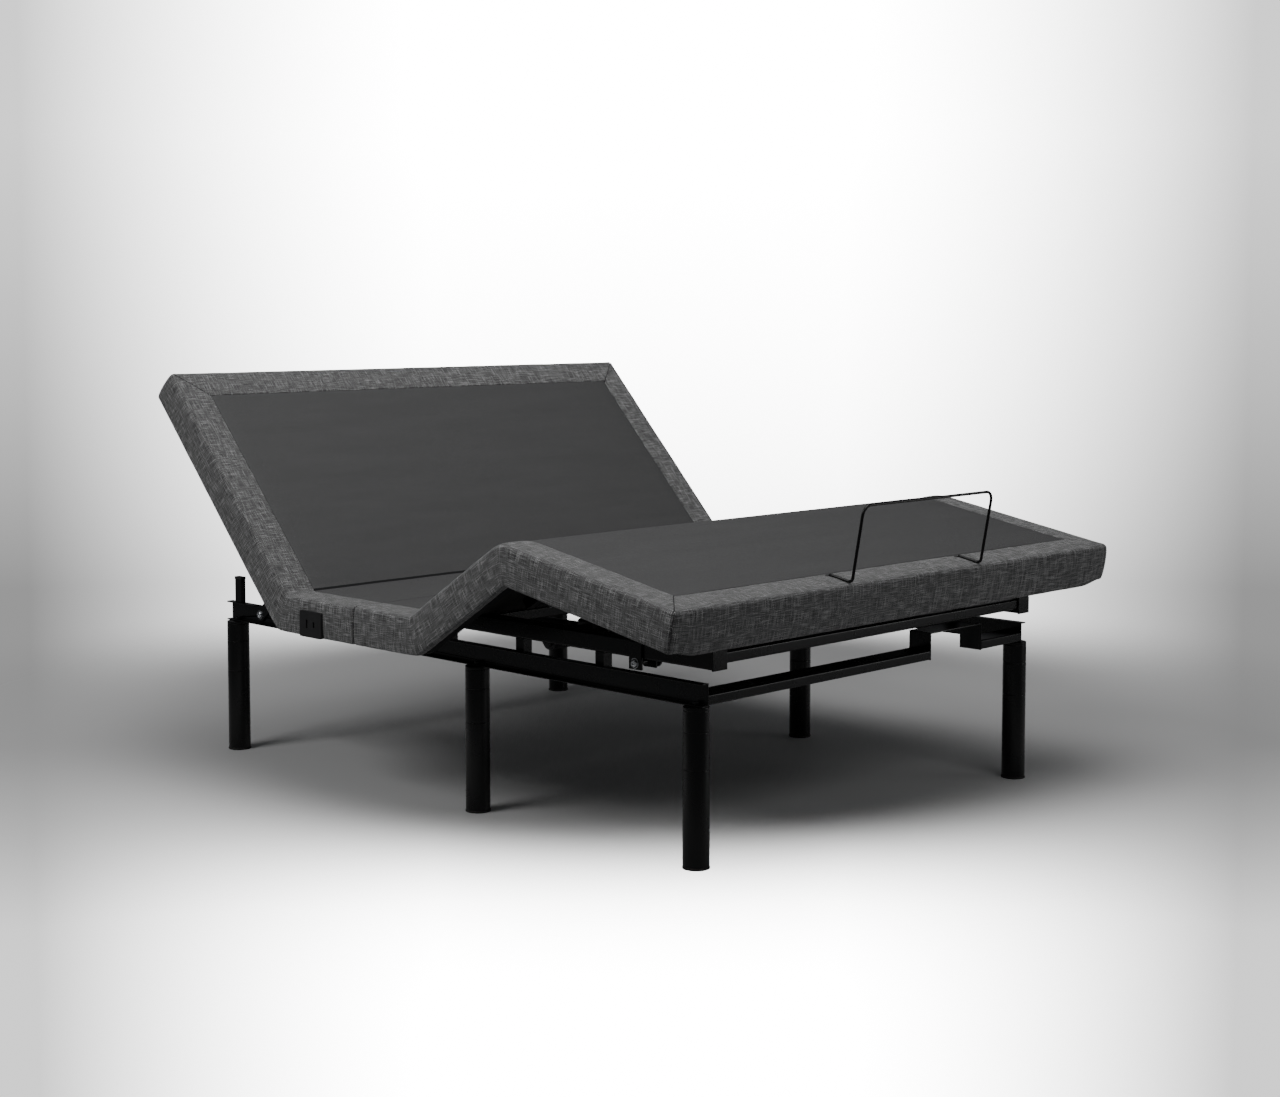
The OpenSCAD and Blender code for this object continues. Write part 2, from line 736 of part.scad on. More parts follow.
// Bent wire: down into a socket, along the panel, up at its end and across
module retainer_bar() color(powder_black) on_foot() {
    foot_w = top_w + wire_r + 0.5;
    half = wire_w / 2;
    both_sides() translate([half, 0, 0]) {
        translate([0, socket_u, socket_floor])
            cylinder(r = wire_r, h = foot_w - low_bend - socket_floor);
        wire_bend(low_bend, [socket_u + low_bend, foot_w - low_bend], 180);
        translate([0, socket_u + low_bend, foot_w]) rotate([-90, 0, 0])
            cylinder(r = wire_r, h = wire_u - socket_u - 2 * low_bend);
        wire_bend(low_bend, [wire_u - low_bend, foot_w + low_bend], 0);
        translate([0, wire_u, foot_w + low_bend])
            cylinder(r = wire_r, h = wire_top - foot_w - low_bend - top_bend);
        translate([-top_bend, wire_u, wire_top - top_bend]) rotate([90, 0, 0])
            rotate_extrude(angle = 90) translate([top_bend, 0]) circle(wire_r);
        pin_x(wire_r, -half, -top_bend, wire_u, wire_top);
    }
}

// Plastic bushes that the bar plugs into
module retainer_sockets() color(plastic_black) on_foot()
    for (side = [-1, 1]) translate([side * wire_w / 2, socket_u, 0])
        difference() {
            cylinder(r = socket_r - slip, h = board_t + 0.5);
            translate([0, 0, socket_floor]) cylinder(r = wire_r + slip, h = top_w);
        }

// ---- Foot links and actuators ----

// Flat links, each on the pivot under the upper rail. The upper hole is a short slot.
module foot_links() color(powder_black) both_sides()
    across(link_x, link_x + link_t) translate(pivot) rotate(link_angle) difference() {
        union() {
            translate([0, -link_w / 2]) square([link_len, link_w]);
            circle(link_eye_r[0]);
            translate([link_len, 0]) circle(link_eye_r[1]);
        }
        circle(pivot_r + slip);
        for (x = [0, link_slot_run]) translate([link_len + x, 0]) circle(link_slot_r);
        translate([link_len, -link_slot_r]) square([link_slot_run, 2 * link_slot_r]);
    }

// Housing in its own frame: the rear pin is at the origin and the rod leaves along +Y
module actuator_housing(tube_end) {
    difference() {
        union() {
            slab([-lug_half, lug_half], [0, gear_y[0] + 1], [-12, 12]);
            pin_x(12, -lug_half, lug_half, 0, 0);
            along(gear_y[0], gear_y[1]) round_rect(2 * gear_half, 2 * gear_half, 8);
            translate([0, gear_y[1] - 1, 0]) rotate([-90, 0, 0])
                cylinder(r = act_tube_r, h = tube_end - gear_y[1] + 1);
        }
        pin_x(act_pin_r + slip, -lug_half - 1, lug_half + 1, 0, 0);
        translate([0, gear_y[1] + 8, 0]) rotate([-90, 0, 0])
            cylinder(r = rod_d / 2 + slip, h = tube_end);
    }
}

module actuator_motor() {
    y = (gear_y[0] + gear_y[1]) / 2;
    pin_x(motor_r, -gear_half - motor_len, -gear_half, y, 0);
    pin_x(motor_r - 8, -gear_half - motor_len - 8, -gear_half - motor_len + 1, y, 0);
}

// Rod with the eye and the cross pin that works in the horn; its pin is at the origin
module actuator_rod(rod_len) {
    translate([0, -rod_len, 0]) rotate([-90, 0, 0]) cylinder(r = rod_d / 2, h = rod_len - 6);
    pin_x(14, -10, 10, 0, 0);
    pin_end = horn_in + horn_t + pin_over;
    pin_x(act_pin_r, -pin_end, pin_end, 0, 0);
}

module at_head_actuator(y) {
    translate([-act_x, y, head_line_z]) children();
}

module at_foot_actuator(y) {
    translate([act_x, y, thigh_line_z]) rotate([0, 0, 180]) children();
}

head_tube_end = head_pin_flat - head_rear_y - eye_gap;
foot_tube_end = thigh_rear_y - thigh_pin_flat - eye_gap;
rod_root = gear_y[1] + 10;      // where a retracted rod starts inside its tube

module head_actuator_housing() color(plastic_black)
    at_head_actuator(head_rear_y) actuator_housing(head_tube_end);
module head_actuator_motor() color(plastic_black)
    at_head_actuator(head_rear_y) actuator_motor();
module head_actuator_rod() color(zinc)
    at_head_actuator(head_pin_rest) actuator_rod(head_tube_end + eye_gap - rod_root);
module foot_actuator_housing() color(plastic_black)
    at_foot_actuator(thigh_rear_y) actuator_housing(foot_tube_end);
module foot_actuator_motor() color(plastic_black)
    at_foot_actuator(thigh_rear_y) actuator_motor();
module foot_actuator_rod() color(zinc)
    at_foot_actuator(thigh_pin_rest) actuator_rod(foot_tube_end + eye_gap - rod_root);

module actuator_rear_pins() color(zinc) {
    half = clevis_half + horn_t + pin_over;
    pin_x(act_pin_r, -act_x - half, -act_x + half, head_rear_y, head_line_z);
    pin_x(act_pin_r, act_x - half, act_x + half, thigh_rear_y, thigh_line_z);
}

// Power supply and control box on the inner face of the right upper rail
module control_box() color(plastic_black)
    translate([upper_in - box_size[0] / 2, 0, upper_bottom + box_size[1] / 2])
        along(box_y[0], box_y[1]) round_rect(box_size[0], box_size[1], 5);

side_rail_left();
side_rail_right();
foot_crossmember();
crossmember_bridge();
head_crossmember();
upper_rail_left();
upper_rail_right();
upper_foot_tube();
actuator_mount_tubes();
frame_risers();
frame_end_caps();
head_braces();
foot_pivot_brackets();
foot_pivot_pins();
head_rest_posts();
head_rest_caps();
brace_bolts();
leg_stud_nuts();
leg_upper_sections();
leg_middle_sections();
leg_lower_sections();
leg_glides();
seat_rear_board();
seat_rear_border();
seat_rear_pad();
seat_front_board();
seat_front_border();
seat_front_pad();
outlet_left();
outlet_right();
head_hinge_bases();
thigh_hinge_bases();
head_actuator_housing();
head_actuator_motor();
foot_actuator_housing();
foot_actuator_motor();
actuator_rear_pins();
control_box();
head_board();
head_border();
head_pad();
head_frame();
head_hinge_leaves();
thigh_board();
thigh_border();
thigh_pad();
thigh_frame();
thigh_hinge_leaves();
knee_hinge_bases();
foot_board();
foot_border();
foot_pad();
foot_frame();
knee_hinge_leaves();
retainer_bar();
retainer_sockets();
foot_links();
head_actuator_rod();
foot_actuator_rod();
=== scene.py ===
import json
import math

import bpy
import numpy as np
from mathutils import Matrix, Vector, noise


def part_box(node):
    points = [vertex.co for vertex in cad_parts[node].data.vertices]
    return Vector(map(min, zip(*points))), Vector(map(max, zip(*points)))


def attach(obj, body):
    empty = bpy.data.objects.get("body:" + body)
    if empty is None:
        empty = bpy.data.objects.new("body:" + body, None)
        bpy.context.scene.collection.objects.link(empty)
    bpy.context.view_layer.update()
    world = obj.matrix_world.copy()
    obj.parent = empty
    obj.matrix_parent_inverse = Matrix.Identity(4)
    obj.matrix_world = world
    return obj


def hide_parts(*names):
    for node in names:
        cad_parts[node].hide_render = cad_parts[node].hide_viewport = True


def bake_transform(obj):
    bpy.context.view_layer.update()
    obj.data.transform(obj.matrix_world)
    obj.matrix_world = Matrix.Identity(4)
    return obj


# The looks of an adjustable bed base. Everything is in metres in the frame of the packed
# part: X across the bed, +Y towards the head and +Z up. Upholstery is laid out flat, as
# (place along the deck, across, height above the hinge line), and then folded.

MM = 0.001

# Camera, at the photograph's angle
CAMERA_PLACE = (-3.524, -3.493, 1.1307)
CAMERA_DOWN = 4.0               # degrees below level
CAMERA_TURN = 45.45             # degrees clockwise from +Y
CAMERA_LENS = 57.35             # millimetres on a 36 mm sensor
CAMERA_SHIFT = (0.0015, -0.078)

# Upholstery
CORNER_R = 13 * MM              # round of the deck's upright corners
TOP_R = 11 * MM                 # round of the outer top edge
BOTTOM_R = 7 * MM               # round of the outer bottom edge
INNER_R = 2.2 * MM              # round of the border's edge beside the pads
CORNER_R_IN = 1.4 * MM          # round of the mitre's inner corner
FACE_CROWN = 2.2 * MM           # swell of the outer face
TOP_CROWN = 1.3 * MM            # swell of the border's top
SPLIT_R = 5 * MM                # round of the ends beside the seat split
SPLIT_DRAW = 2.6 * MM           # most that the section is drawn in there
STATION_STEP = 9 * MM           # between cross-sections of covers and pads
STATION_LEAST = 0.45 * MM       # nearer ones are left out
MITRE_STATIONS = (1.2, 2.6, 4.5, 7, 12)    # extra ones, in millimetres before the mitre
MITRE_REACH = 170 * MM          # length over which cross-sections turn to the mitre
END_SAG = 11 * MM               # the end skirts hang this much lower, away from the corners
END_SAG_REACH = 75 * MM         # length from a corner over which the sag builds up
SEAM_DEPTH = 2.6 * MM           # groove of the mitre's seam
SEAM_HALF = 0.8 * MM            # half of its width
SEAM_PUFF = (0.7 * MM, 9 * MM)  # swell beside a seam: height, reach
WAVES = (0.45 * MM, 17, 43)     # slack fabric: height, and how often per metre
RIPPLE = (0.7 * MM, 13 * MM, 30 * MM)   # ripples at the folds: height, length, reach
FOLD_REACH = 60 * MM            # length each side of a hinge over which fabric bends
FOLD_ROUND = 2.5 * MM           # round of the fabric on the inner side of a fold
SEAT_ROUND = 6 * MM             # added round under the head's and thigh's folds
KNEE_ROUND = 12 * MM            # added round on top of the knee
LINING_GAP = 1 * MM             # between the border's back and the board's edge
BOARD_GAP = 0.3 * MM            # between the border and the board's top
PAD_EDGE = 2.4 * MM             # round of the pads' free edges
PAD_CROWN = 0.7 * MM            # swell of the pads' tops
PAD_LIFT = 0.4 * MM             # the pads' undersides above the boards
PAD_DROP = 0.3 * MM             # the pads' tops below the borders'
PAINTED_CREASE_SHADE = (1.5 * MM, 9 * MM)    # painted shade: a strip of black lining along the head pad's lower edge, where the crease's shadow falls
STITCH_LENGTH, STITCH_PITCH, STITCH_R = 2.9 * MM, 4.4 * MM, 0.45 * MM
HEM_HEIGHT = 10 * MM            # stitches above the bottom edge
SEAM_ROW = 3.6 * MM             # stitches beside the corner seams
THREAD = 2.1 * MM               # spacing of the linen's threads
SLUB = 32 * MM                  # length of a thread's lighter and darker stretches
MESH_PITCH = 1.5 * MM           # cells of the non-slip mesh

# Metal parts
WIRE_R = 3.25 * MM              # retainer bar
WIRE_BEND = 9 * MM              # its small bends
WIRE_CORNER = 22 * MM           # its two upper corners
LEG_CHAMFER = 1.0 * MM          # edges of the screwed joints
LEG_COLLAR = 7 * MM             # length of the welded collar at the top
BRACE_EYE_R = 17 * MM           # rounded ends of the diagonal straps
PIN_R = 6 * MM                  # foot link's pivot
SPACER_R = 10 * MM              # between the link and the upper tube
# Eyelet, as (distance from the wire, height over the fabric) in millimetres
EYELET = [(0.2, -3), (0.4, 1.6), (1.6, 2.2), (3.4, 1.7), (4.2, 0.6), (4.2, -3)]
# Button head over a washer, as (radius, distance out from the plate) in millimetres
BOLT_HEAD = [(10.9, 0), (11.1, 0.5), (10.9, 1.3), (9.0, 1.4), (9.3, 2.0), (9.0, 3.2),
             (8.0, 4.8), (6.3, 6.0), (4.4, 6.6), (3.7, 6.5), (3.5, 4.4), (1, 4.2)]

# Studio, in metres
FADE = (1.15, 2.6)              # the floor is solid to here, and gone by there
FADE_CENTRE = (0.5, 0.45, 0)    # the middle of the solid part
FILL = 0.11                     # light from all round
# Lamps: (place, point they face, size, watts)
LAMPS = {"overhead": ((-0.3, -0.4, 3.3), (0, 0, 0.3), (2.4, 2.4), 62),
         "left_side": ((-3.6, 0.8, 3.4), (0, 0, 0.4), (2.0, 1.6), 74),
         "front_fill": ((-0.8, -3.8, 3.2), (0, 0.2, 0.5), (2.4, 1.4), 19),
         "metal_sheen": ((3.6, -4.4, 0.65), (0, -0.8, 0.4), (2.0, 1.2), 24)}
# The backdrop, seen only by the camera, is painted light: brightest straight behind the bed.
BACKDROP = (1.25, 18.0)         # strength at the sides and straight behind the bed
BACKDROP_WAY = (0.71, 0.70, 0)  # where straight behind is
BACKDROP_REACH = (0.955, 0.992)    # cosines of the angles between which it changes
BACKDROP_RISE = (-0.3, 0.1)     # directions' Z at the band's foot and top
# The backdrop is dimmer round the horizon, a painted shade band: (share of the band's height, brightness)
HORIZON = ((0.04, 1.0), (0.24, 0.27), (0.42, 0.28), (0.95, 1.0))


# ---- Camera and frame ----

def make_camera():
    lens = bpy.data.cameras.new("photo_camera")
    lens.lens = CAMERA_LENS
    lens.shift_x, lens.shift_y = CAMERA_SHIFT
    camera = bpy.data.objects.new("photo_camera", lens)
    bpy.context.scene.collection.objects.link(camera)
    camera.location = CAMERA_PLACE
    camera.rotation_euler = (math.radians(90 - CAMERA_DOWN), 0, -math.radians(CAMERA_TURN))
    bpy.context.scene.camera = camera


make_camera()
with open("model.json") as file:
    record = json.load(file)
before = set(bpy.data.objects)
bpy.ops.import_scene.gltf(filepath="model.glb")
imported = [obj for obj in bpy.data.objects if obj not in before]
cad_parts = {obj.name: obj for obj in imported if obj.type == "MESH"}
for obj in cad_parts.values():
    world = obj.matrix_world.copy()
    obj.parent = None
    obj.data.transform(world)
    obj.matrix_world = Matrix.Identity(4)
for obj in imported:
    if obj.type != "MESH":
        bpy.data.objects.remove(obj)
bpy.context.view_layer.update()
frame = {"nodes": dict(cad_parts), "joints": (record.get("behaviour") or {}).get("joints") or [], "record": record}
nodes = frame["nodes"]
joints = {j["name"]: j for j in frame["joints"]}


def node_points(name):
    return np.array([v.co for v in nodes[name].data.vertices], float)


class Panel:
    """A flat stretch of the deck: its direction and normal in the (Y, Z) plane."""

    def __init__(self, hinge, place, angle):
        self.hinge = np.array(hinge[1:], float)
        self.place = place
        self.along = np.array((math.cos(angle), math.sin(angle)))
        self.normal = np.array((-math.sin(angle), math.cos(angle)))
        self.angle = angle

    def local(self, points):
        """(along the flat deck, across, height) of points on this panel."""
        flat = points[:, 1:] - self.hinge
        return np.column_stack((flat @ self.along + self.place, points[:, 0],
                                flat @ self.normal))

    def box(self, node):
        points = self.local(node_points(node))
        return points.min(0), points.max(0)

    def world(self, along, across, height):
        yz = self.hinge + (along - self.place) * self.along + height * self.normal
        return Vector((across, *yz))


def joint_place(name):
    return joints[name]["pos_m"]


def rest_angle(name):
    """How far a joint has turned, at rest, from the bed lying flat."""
    return -math.radians(joints[name]["range_deg"][0])


HEAD_HINGE, THIGH_HINGE, KNEE = (joint_place(n) for n in ("head_tilt", "thigh_lift", "knee_fold"))
HEAD_ANGLE, THIGH_ANGLE = rest_angle("head_tilt"), rest_angle("thigh_lift")
FOOT_ANGLE = rest_angle("knee_fold") - THIGH_ANGLE
THIGH_PLACE = THIGH_HINGE[1] - HEAD_HINGE[1]
KNEE_PLACE = THIGH_PLACE - math.hypot(KNEE[1] - THIGH_HINGE[1], KNEE[2] - THIGH_HINGE[2])

head_panel = Panel(HEAD_HINGE, 0, HEAD_ANGLE)
seat_panel = Panel(HEAD_HINGE, 0, 0)
thigh_panel = Panel(THIGH_HINGE, THIGH_PLACE, -THIGH_ANGLE)
foot_panel = Panel(KNEE, KNEE_PLACE, FOOT_ANGLE)
# Each fold: place along the flat deck, the panel beyond it (+) and before it (-)
FOLDS = [(0, head_panel, seat_panel), (THIGH_PLACE, seat_panel, thigh_panel),
         (KNEE_PLACE, thigh_panel, foot_panel)]

HALF_W = float(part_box("seat_rear_border")[1].x)
PAD_HALF = float(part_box("seat_rear_pad")[1].x)
SKIRT = HALF_W - float(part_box("seat_rear_board")[1].x)
TOP = float(head_panel.box("head_pad")[1][2])
BOTTOM = float(head_panel.box("head_border")[0][2])
BOARD_TOP = float(head_panel.box("head_board")[1][2])
FACE_FOOT = BOTTOM + BOTTOM_R    # where the outer face starts above its bottom edge
HEAD_END = float(head_panel.box("head_border")[1][0])
FOOT_END = float(foot_panel.box("foot_border")[0][0])
PAD_HEAD_END = float(head_panel.box("head_pad")[1][0])
PAD_FOOT_END = float(foot_panel.box("foot_pad")[0][0])
SPLIT = (float(seat_panel.box("seat_rear_border")[0][0]),
         float(seat_panel.box("seat_front_border")[1][0]))
MID_THIGH = (THIGH_PLACE + KNEE_PLACE) / 2


def smooth_step(x):
    x = np.clip(x, 0, 1)
    return x * x * (3 - 2 * x)


def bisector(upper, lower):
    both = upper.normal + lower.normal
    return both / np.linalg.norm(both)


def fold(flat):
    """World points of flat (along, across, height) points on the folded deck."""
    flat = np.asarray(flat, float)
    place, height = flat[:, 0].copy(), flat[:, 2]
    yz = np.zeros((len(flat), 2))
    lift = np.zeros((len(flat), 2))
    for at, upper, lower in FOLDS:
        half = (upper.angle - lower.angle) / 2
        gap = flat[:, 0] - at
        near = np.abs(gap)
        side = np.where(gap < 0, -1.0, 1.0)
        bend = 1 - smooth_step(near / FOLD_REACH)
        place += side * height * math.tan(half) * bend
        corner = np.maximum(0, near - height * math.tan(half) * (1 - bend))
        convex = (height - BOTTOM) / (TOP - BOTTOM)
        if half > 0:
            convex = 1 - convex
        radius = FOLD_ROUND + (SEAT_ROUND if half > 0 else KNEE_ROUND) * convex
        rounding = np.sqrt(corner ** 2 + radius ** 2) - corner
        lift += np.outer(math.sin(half) * rounding * bend, bisector(upper, lower))
    stretches = [(head_panel, flat[:, 0] >= 0),
                 (seat_panel, (flat[:, 0] < 0) & (flat[:, 0] >= THIGH_PLACE)),
                 (thigh_panel, (flat[:, 0] < THIGH_PLACE) & (flat[:, 0] >= KNEE_PLACE)),
                 (foot_panel, flat[:, 0] < KNEE_PLACE)]
    for panel, here in stretches:
        yz[here] = (panel.hinge + np.outer(place[here] - panel.place, panel.along)
                    + np.outer(height[here], panel.normal))
    yz += lift
    return np.column_stack((flat[:, 1], yz))


# ---- Node materials ----

class Nodes:
    """Adds shader nodes to a tree."""

    def __init__(self, tree):
        self.tree = tree

    def add(self, kind, inputs=None, **settings):
        node = self.tree.nodes.new("ShaderNode" + kind)
        for key, value in settings.items():
            setattr(node, key, value)
        for key, value in (inputs or {}).items():
            self.feed(node.inputs[key], value)
        return node

    def feed(self, socket, value):
        if isinstance(value, bpy.types.NodeSocket):
            self.tree.links.new(value, socket)
        else:
            socket.default_value = value

    def math(self, operation, a, b=0.0):
        return self.add("Math", {0: a, 1: b}, operation=operation).outputs[0]

    def vector(self, operation, a, b):
        return self.add("VectorMath", {0: a, 1: b}, operation=operation).outputs[0]

    def scaled(self, vector, factors):
        return self.vector("MULTIPLY", vector, factors)

    def map(self, value, source, target=(0, 1), kind="LINEAR"):
        """Maps a value from one range onto another and stops at its ends."""
        limits = zip(("From Min", "From Max", "To Min", "To Max"), (*source, *target))
        return self.add("MapRange", {"Value": value, **dict(limits)},
                        interpolation_type=kind).outputs[0]

    def ramp(self, factor, *stops):
        node = self.add("ValToRGB", {0: factor})
        elements = node.color_ramp.elements
        while len(elements) < len(stops):
            elements.new(0.5)
        for element, (position, value) in zip(elements, stops):
            element.position = position
            colour = (value,) * 3 if isinstance(value, float) else value
            element.color = (*colour, 1)
        return node.outputs[0]


class Shade(Nodes):
    """A node material under construction."""

    def __init__(self, name, **surface):
        self.material = bpy.data.materials.new(name)
        self.material.use_nodes = True
        super().__init__(self.material.node_tree)
        self.shader = self.tree.nodes["Principled BSDF"]
        for key, value in surface.items():
            self.shader.inputs[key.replace("_", " ")].default_value = value

    def noise(self, vector, scale, detail=2.0, roughness=0.5):
        return self.add("TexNoise", {"Vector": vector, "Scale": scale, "Detail": detail,
                                     "Roughness": roughness}).outputs[0]

    def spread(self, value, low, high):
        """Maps 0..1 onto low..high."""
        return self.map(value, (0, 1), (low, high))

    def mix(self, factor, a, b):
        node = self.add("Mix", data_type="RGBA")
        for socket, value in ((node.inputs[0], factor), (node.inputs[6], a),
                              (node.inputs[7], b)):
            self.feed(socket, value)
        return node.outputs[2]

    def tinted(self, colour, value, low, high):
        """A colour made lighter and darker by a 0..1 value."""
        level = self.spread(value, low, high)
        return self.add("VectorMath", {0: colour, "Scale": level}, operation="SCALE").outputs[0]

    def bump(self, height, distance, strength=1.0):
        node = self.add("Bump", {"Height": height, "Distance": distance,
                                 "Strength": strength})
        self.feed(self.shader.inputs["Normal"], node.outputs[0])

    def colour(self, value):
        self.feed(self.shader.inputs["Base Color"], value)

    def roughness(self, value):
        self.feed(self.shader.inputs["Roughness"], value)

    def place(self):
        return self.add("TexCoord").outputs["Object"]


def linen():
    """Heathered plain weave, laid out by the weave attribute in metres."""
    s = Shade("charcoal_linen", Roughness=0.92, Sheen_Weight=0.22, Sheen_Roughness=0.45,
              Specular_IOR_Level=0.22)
    at = s.add("Attribute", attribute_name="weave").outputs["Vector"]
    wander = s.add("TexNoise", {"Vector": at, "Scale": 30.0})
    shift = s.vector("SUBTRACT", wander.outputs["Color"], (0.5, 0.5, 0.5))
    at = s.vector("ADD", s.scaled(shift, (0.9 * THREAD, 0.9 * THREAD, 0)), at)
    axes = s.add("SeparateXYZ", {0: at})
    turn = math.pi / THREAD
    across = s.math("SINE", s.math("MULTIPLY", axes.outputs[0], turn))
    along = s.math("SINE", s.math("MULTIPLY", axes.outputs[1], turn))
    over = s.math("MULTIPLY", across, along)
    over = s.map(over, (-0.22, 0.22), kind="SMOOTHSTEP")
    warp = s.noise(s.scaled(at, (0.95 / THREAD, 1 / SLUB, 1)), 1.0, 1.5)
    weft = s.noise(s.scaled(at, (1 / SLUB, 0.95 / THREAD, 1)), 1.0, 1.5)
    stops = ((0.31, 0.036), (0.46, 0.09), (0.57, 0.18), (0.69, 0.42))
    tone = s.mix(over, s.ramp(weft, *stops), s.ramp(warp, *stops))
    round_warp = s.math("ABSOLUTE", across)
    round_weft = s.math("ABSOLUTE", along)
    ridge = s.add("Mix", {0: over, 2: round_weft, 3: round_warp}).outputs[0]
    # Painted highlight and shade: the thread crowns made lighter and the dips between threads darker.
    tone = s.tinted(tone, ridge, 0.25, 1.25)
    mottle = s.noise(at, 14.0, 3.0, 0.6)
    s.colour(s.tinted(tone, mottle, 0.9, 1.1))
    fuzz = s.noise(at, 2600.0)
    s.bump(s.math("ADD", s.math("MULTIPLY", ridge, 0.8), s.math("MULTIPLY", fuzz, 0.25)),
           0.55 * MM)
    return s.material


def grip_mesh():
    """Fine non-slip mesh, dark with a few light specks."""
    s = Shade("grip_mesh", Roughness=0.62, Specular_IOR_Level=0.15)
    at = s.add("Attribute", attribute_name="weave").outputs["Vector"]
    axes = s.add("SeparateXYZ", {0: at})
    pitch = math.pi / MESH_PITCH
    rows = [s.math("ABSOLUTE", s.math("SINE", s.math("MULTIPLY", axes.outputs[i], pitch)))
            for i in (0, 1)]
    cell = s.math("MULTIPLY", rows[0], rows[1])
    tone = s.mix(cell, (0.046, 0.046, 0.0465, 1), (0.104, 0.1045, 0.105, 1))
    drift = s.noise(s.scaled(at, (22, 3, 1)), 1.0, 3.0, 0.6)
    tone = s.tinted(tone, drift, 0.88, 1.12)
    speck = s.map(s.noise(at, 420.0, 0.0), (0.74, 0.80))
    s.colour(s.mix(s.math("MULTIPLY", speck, 0.55), tone, (0.16, 0.16, 0.156, 1)))
    s.roughness(s.spread(s.noise(at, 90.0), 0.55, 0.72))
    s.bump(cell, 0.25 * MM, 0.7)
    return s.material


def lining():
    """Black non-woven cloth on the undersides."""
    s = Shade("black_lining", Roughness=0.95, Specular_IOR_Level=0.15)
    at = s.place()
    fibre = s.noise(s.scaled(at, (1, 0.4, 1)), 900.0, 3.0, 0.7)
    s.colour(s.tinted((0.012, 0.012, 0.0125), fibre, 0.6, 1.5))
    s.bump(fibre, 0.2 * MM)
    return s.material


def backed_board():
    """Plywood board with a black backing cloth."""
    s = Shade("backed_board", Roughness=0.85, Specular_IOR_Level=0.2)
    at = s.place()
    grain = s.noise(s.scaled(at, (6, 90, 90)), 1.0, 4.0, 0.6)
    weave = s.noise(at, 700.0)
    s.colour(s.mix(grain, (0.013, 0.0125, 0.012, 1), (0.026, 0.0245, 0.022, 1)))
    s.roughness(s.spread(weave, 0.75, 0.95))
    s.bump(weave, 0.15 * MM)
    return s.material


def thread():
    """Twisted sewing thread."""
    s = Shade("sewing_thread", Roughness=0.75, Sheen_Weight=0.2)
    twist = s.noise(s.place(), 1500.0)
    s.colour(s.tinted((0.15, 0.15, 0.148), twist, 0.55, 1.3))
    s.bump(twist, 0.15 * MM)
    return s.material


def powder_coat():
    """Glossy black powder coat with a little orange peel."""
    s = Shade("black_powder_coat", Roughness=0.3, Coat_Weight=0.12, Coat_Roughness=0.12,
              Specular_IOR_Level=0.25)
    at = s.place()
    peel = s.noise(at, 520.0)
    cloud = s.noise(at, 9.0, 4.0, 0.6)
    s.colour(s.tinted((0.003, 0.003, 0.0031), cloud, 0.85, 1.15))
    s.roughness(s.spread(cloud, 0.25, 0.3))
    s.bump(peel, 0.06 * MM, 0.6)
    return s.material


def zinc_plate():
    """Bright zinc, faintly brushed and clouded."""
    s = Shade("zinc_plate", Metallic=1.0, Roughness=0.25)
    at = s.place()
    cloud = s.noise(at, 180.0, 4.0, 0.6)
    s.colour(s.mix(cloud, (0.46, 0.47, 0.49, 1), (0.74, 0.75, 0.76, 1)))
    s.roughness(s.spread(cloud, 0.17, 0.36))
    s.bump(s.noise(s.scaled(at, (1, 6, 6)), 900.0), 0.04 * MM, 0.5)
    return s.material


def moulded_plastic():
    """Black plastic with a fine moulded grain."""
    s = Shade("moulded_plastic", Roughness=0.5, Specular_IOR_Level=0.4)
    at = s.place()
    grain = s.add("TexVoronoi", {"Vector": at, "Scale": 1300.0}).outputs["Distance"]
    cloud = s.noise(at, 40.0, 3.0)
    s.colour(s.tinted((0.014, 0.014, 0.0145), cloud, 0.8, 1.25))
    s.roughness(s.spread(cloud, 0.42, 0.58))
    s.bump(grain, 0.05 * MM, 0.7)
    return s.material


def rubber():
    s = Shade("black_rubber", Roughness=0.8, Specular_IOR_Level=0.25)
    dust = s.noise(s.place(), 70.0, 4.0, 0.65)
    s.colour(s.mix(dust, (0.011, 0.011, 0.011, 1), (0.03, 0.03, 0.029, 1)))
    s.roughness(s.spread(dust, 0.7, 0.92))
    s.bump(dust, 0.1 * MM)
    return s.material


def pale_floor():
    """Pale studio paper that fades into the pale background all round."""
    s = Shade("studio_paper", Roughness=0.7, Specular_IOR_Level=0.2)
    at = s.place()
    s.colour(s.tinted((0.5, 0.5, 0.5), s.noise(at, 1.2, 3.0), 0.985, 1.015))
    s.roughness(s.spread(s.noise(at, 30.0), 0.65, 0.75))
    far = s.add("VectorMath", {0: at, 1: FADE_CENTRE}, operation="DISTANCE").outputs["Value"]
    s.feed(s.shader.inputs["Alpha"], s.map(far, FADE, (1, 0), "SMOOTHERSTEP"))
    return s.material


LINEN, MESH, LINING, BOARD = linen(), grip_mesh(), lining(), backed_board()
THREAD_LOOK, POWDER, ZINC = thread(), powder_coat(), zinc_plate()
PLASTIC, RUBBER = moulded_plastic(), rubber()


# ---- Mesh helpers ----

def new_object(name, vertices, faces, materials, sharp=40):
    """A smooth-shaded mesh, with edges sharper than an angle in degrees kept sharp."""
    mesh = bpy.data.meshes.new(name)
    mesh.from_pydata([tuple(v) for v in vertices], [], faces)
    for material in materials:
        mesh.materials.append(material)
    mesh.polygons.foreach_set("use_smooth", [True] * len(mesh.polygons))
    if sharp:
        mesh.set_sharp_from_angle(angle=math.radians(sharp))
    mesh.validate()
    mesh.update()
    made = bpy.data.objects.new(name, mesh)
    bpy.context.scene.collection.objects.link(made)
    return made


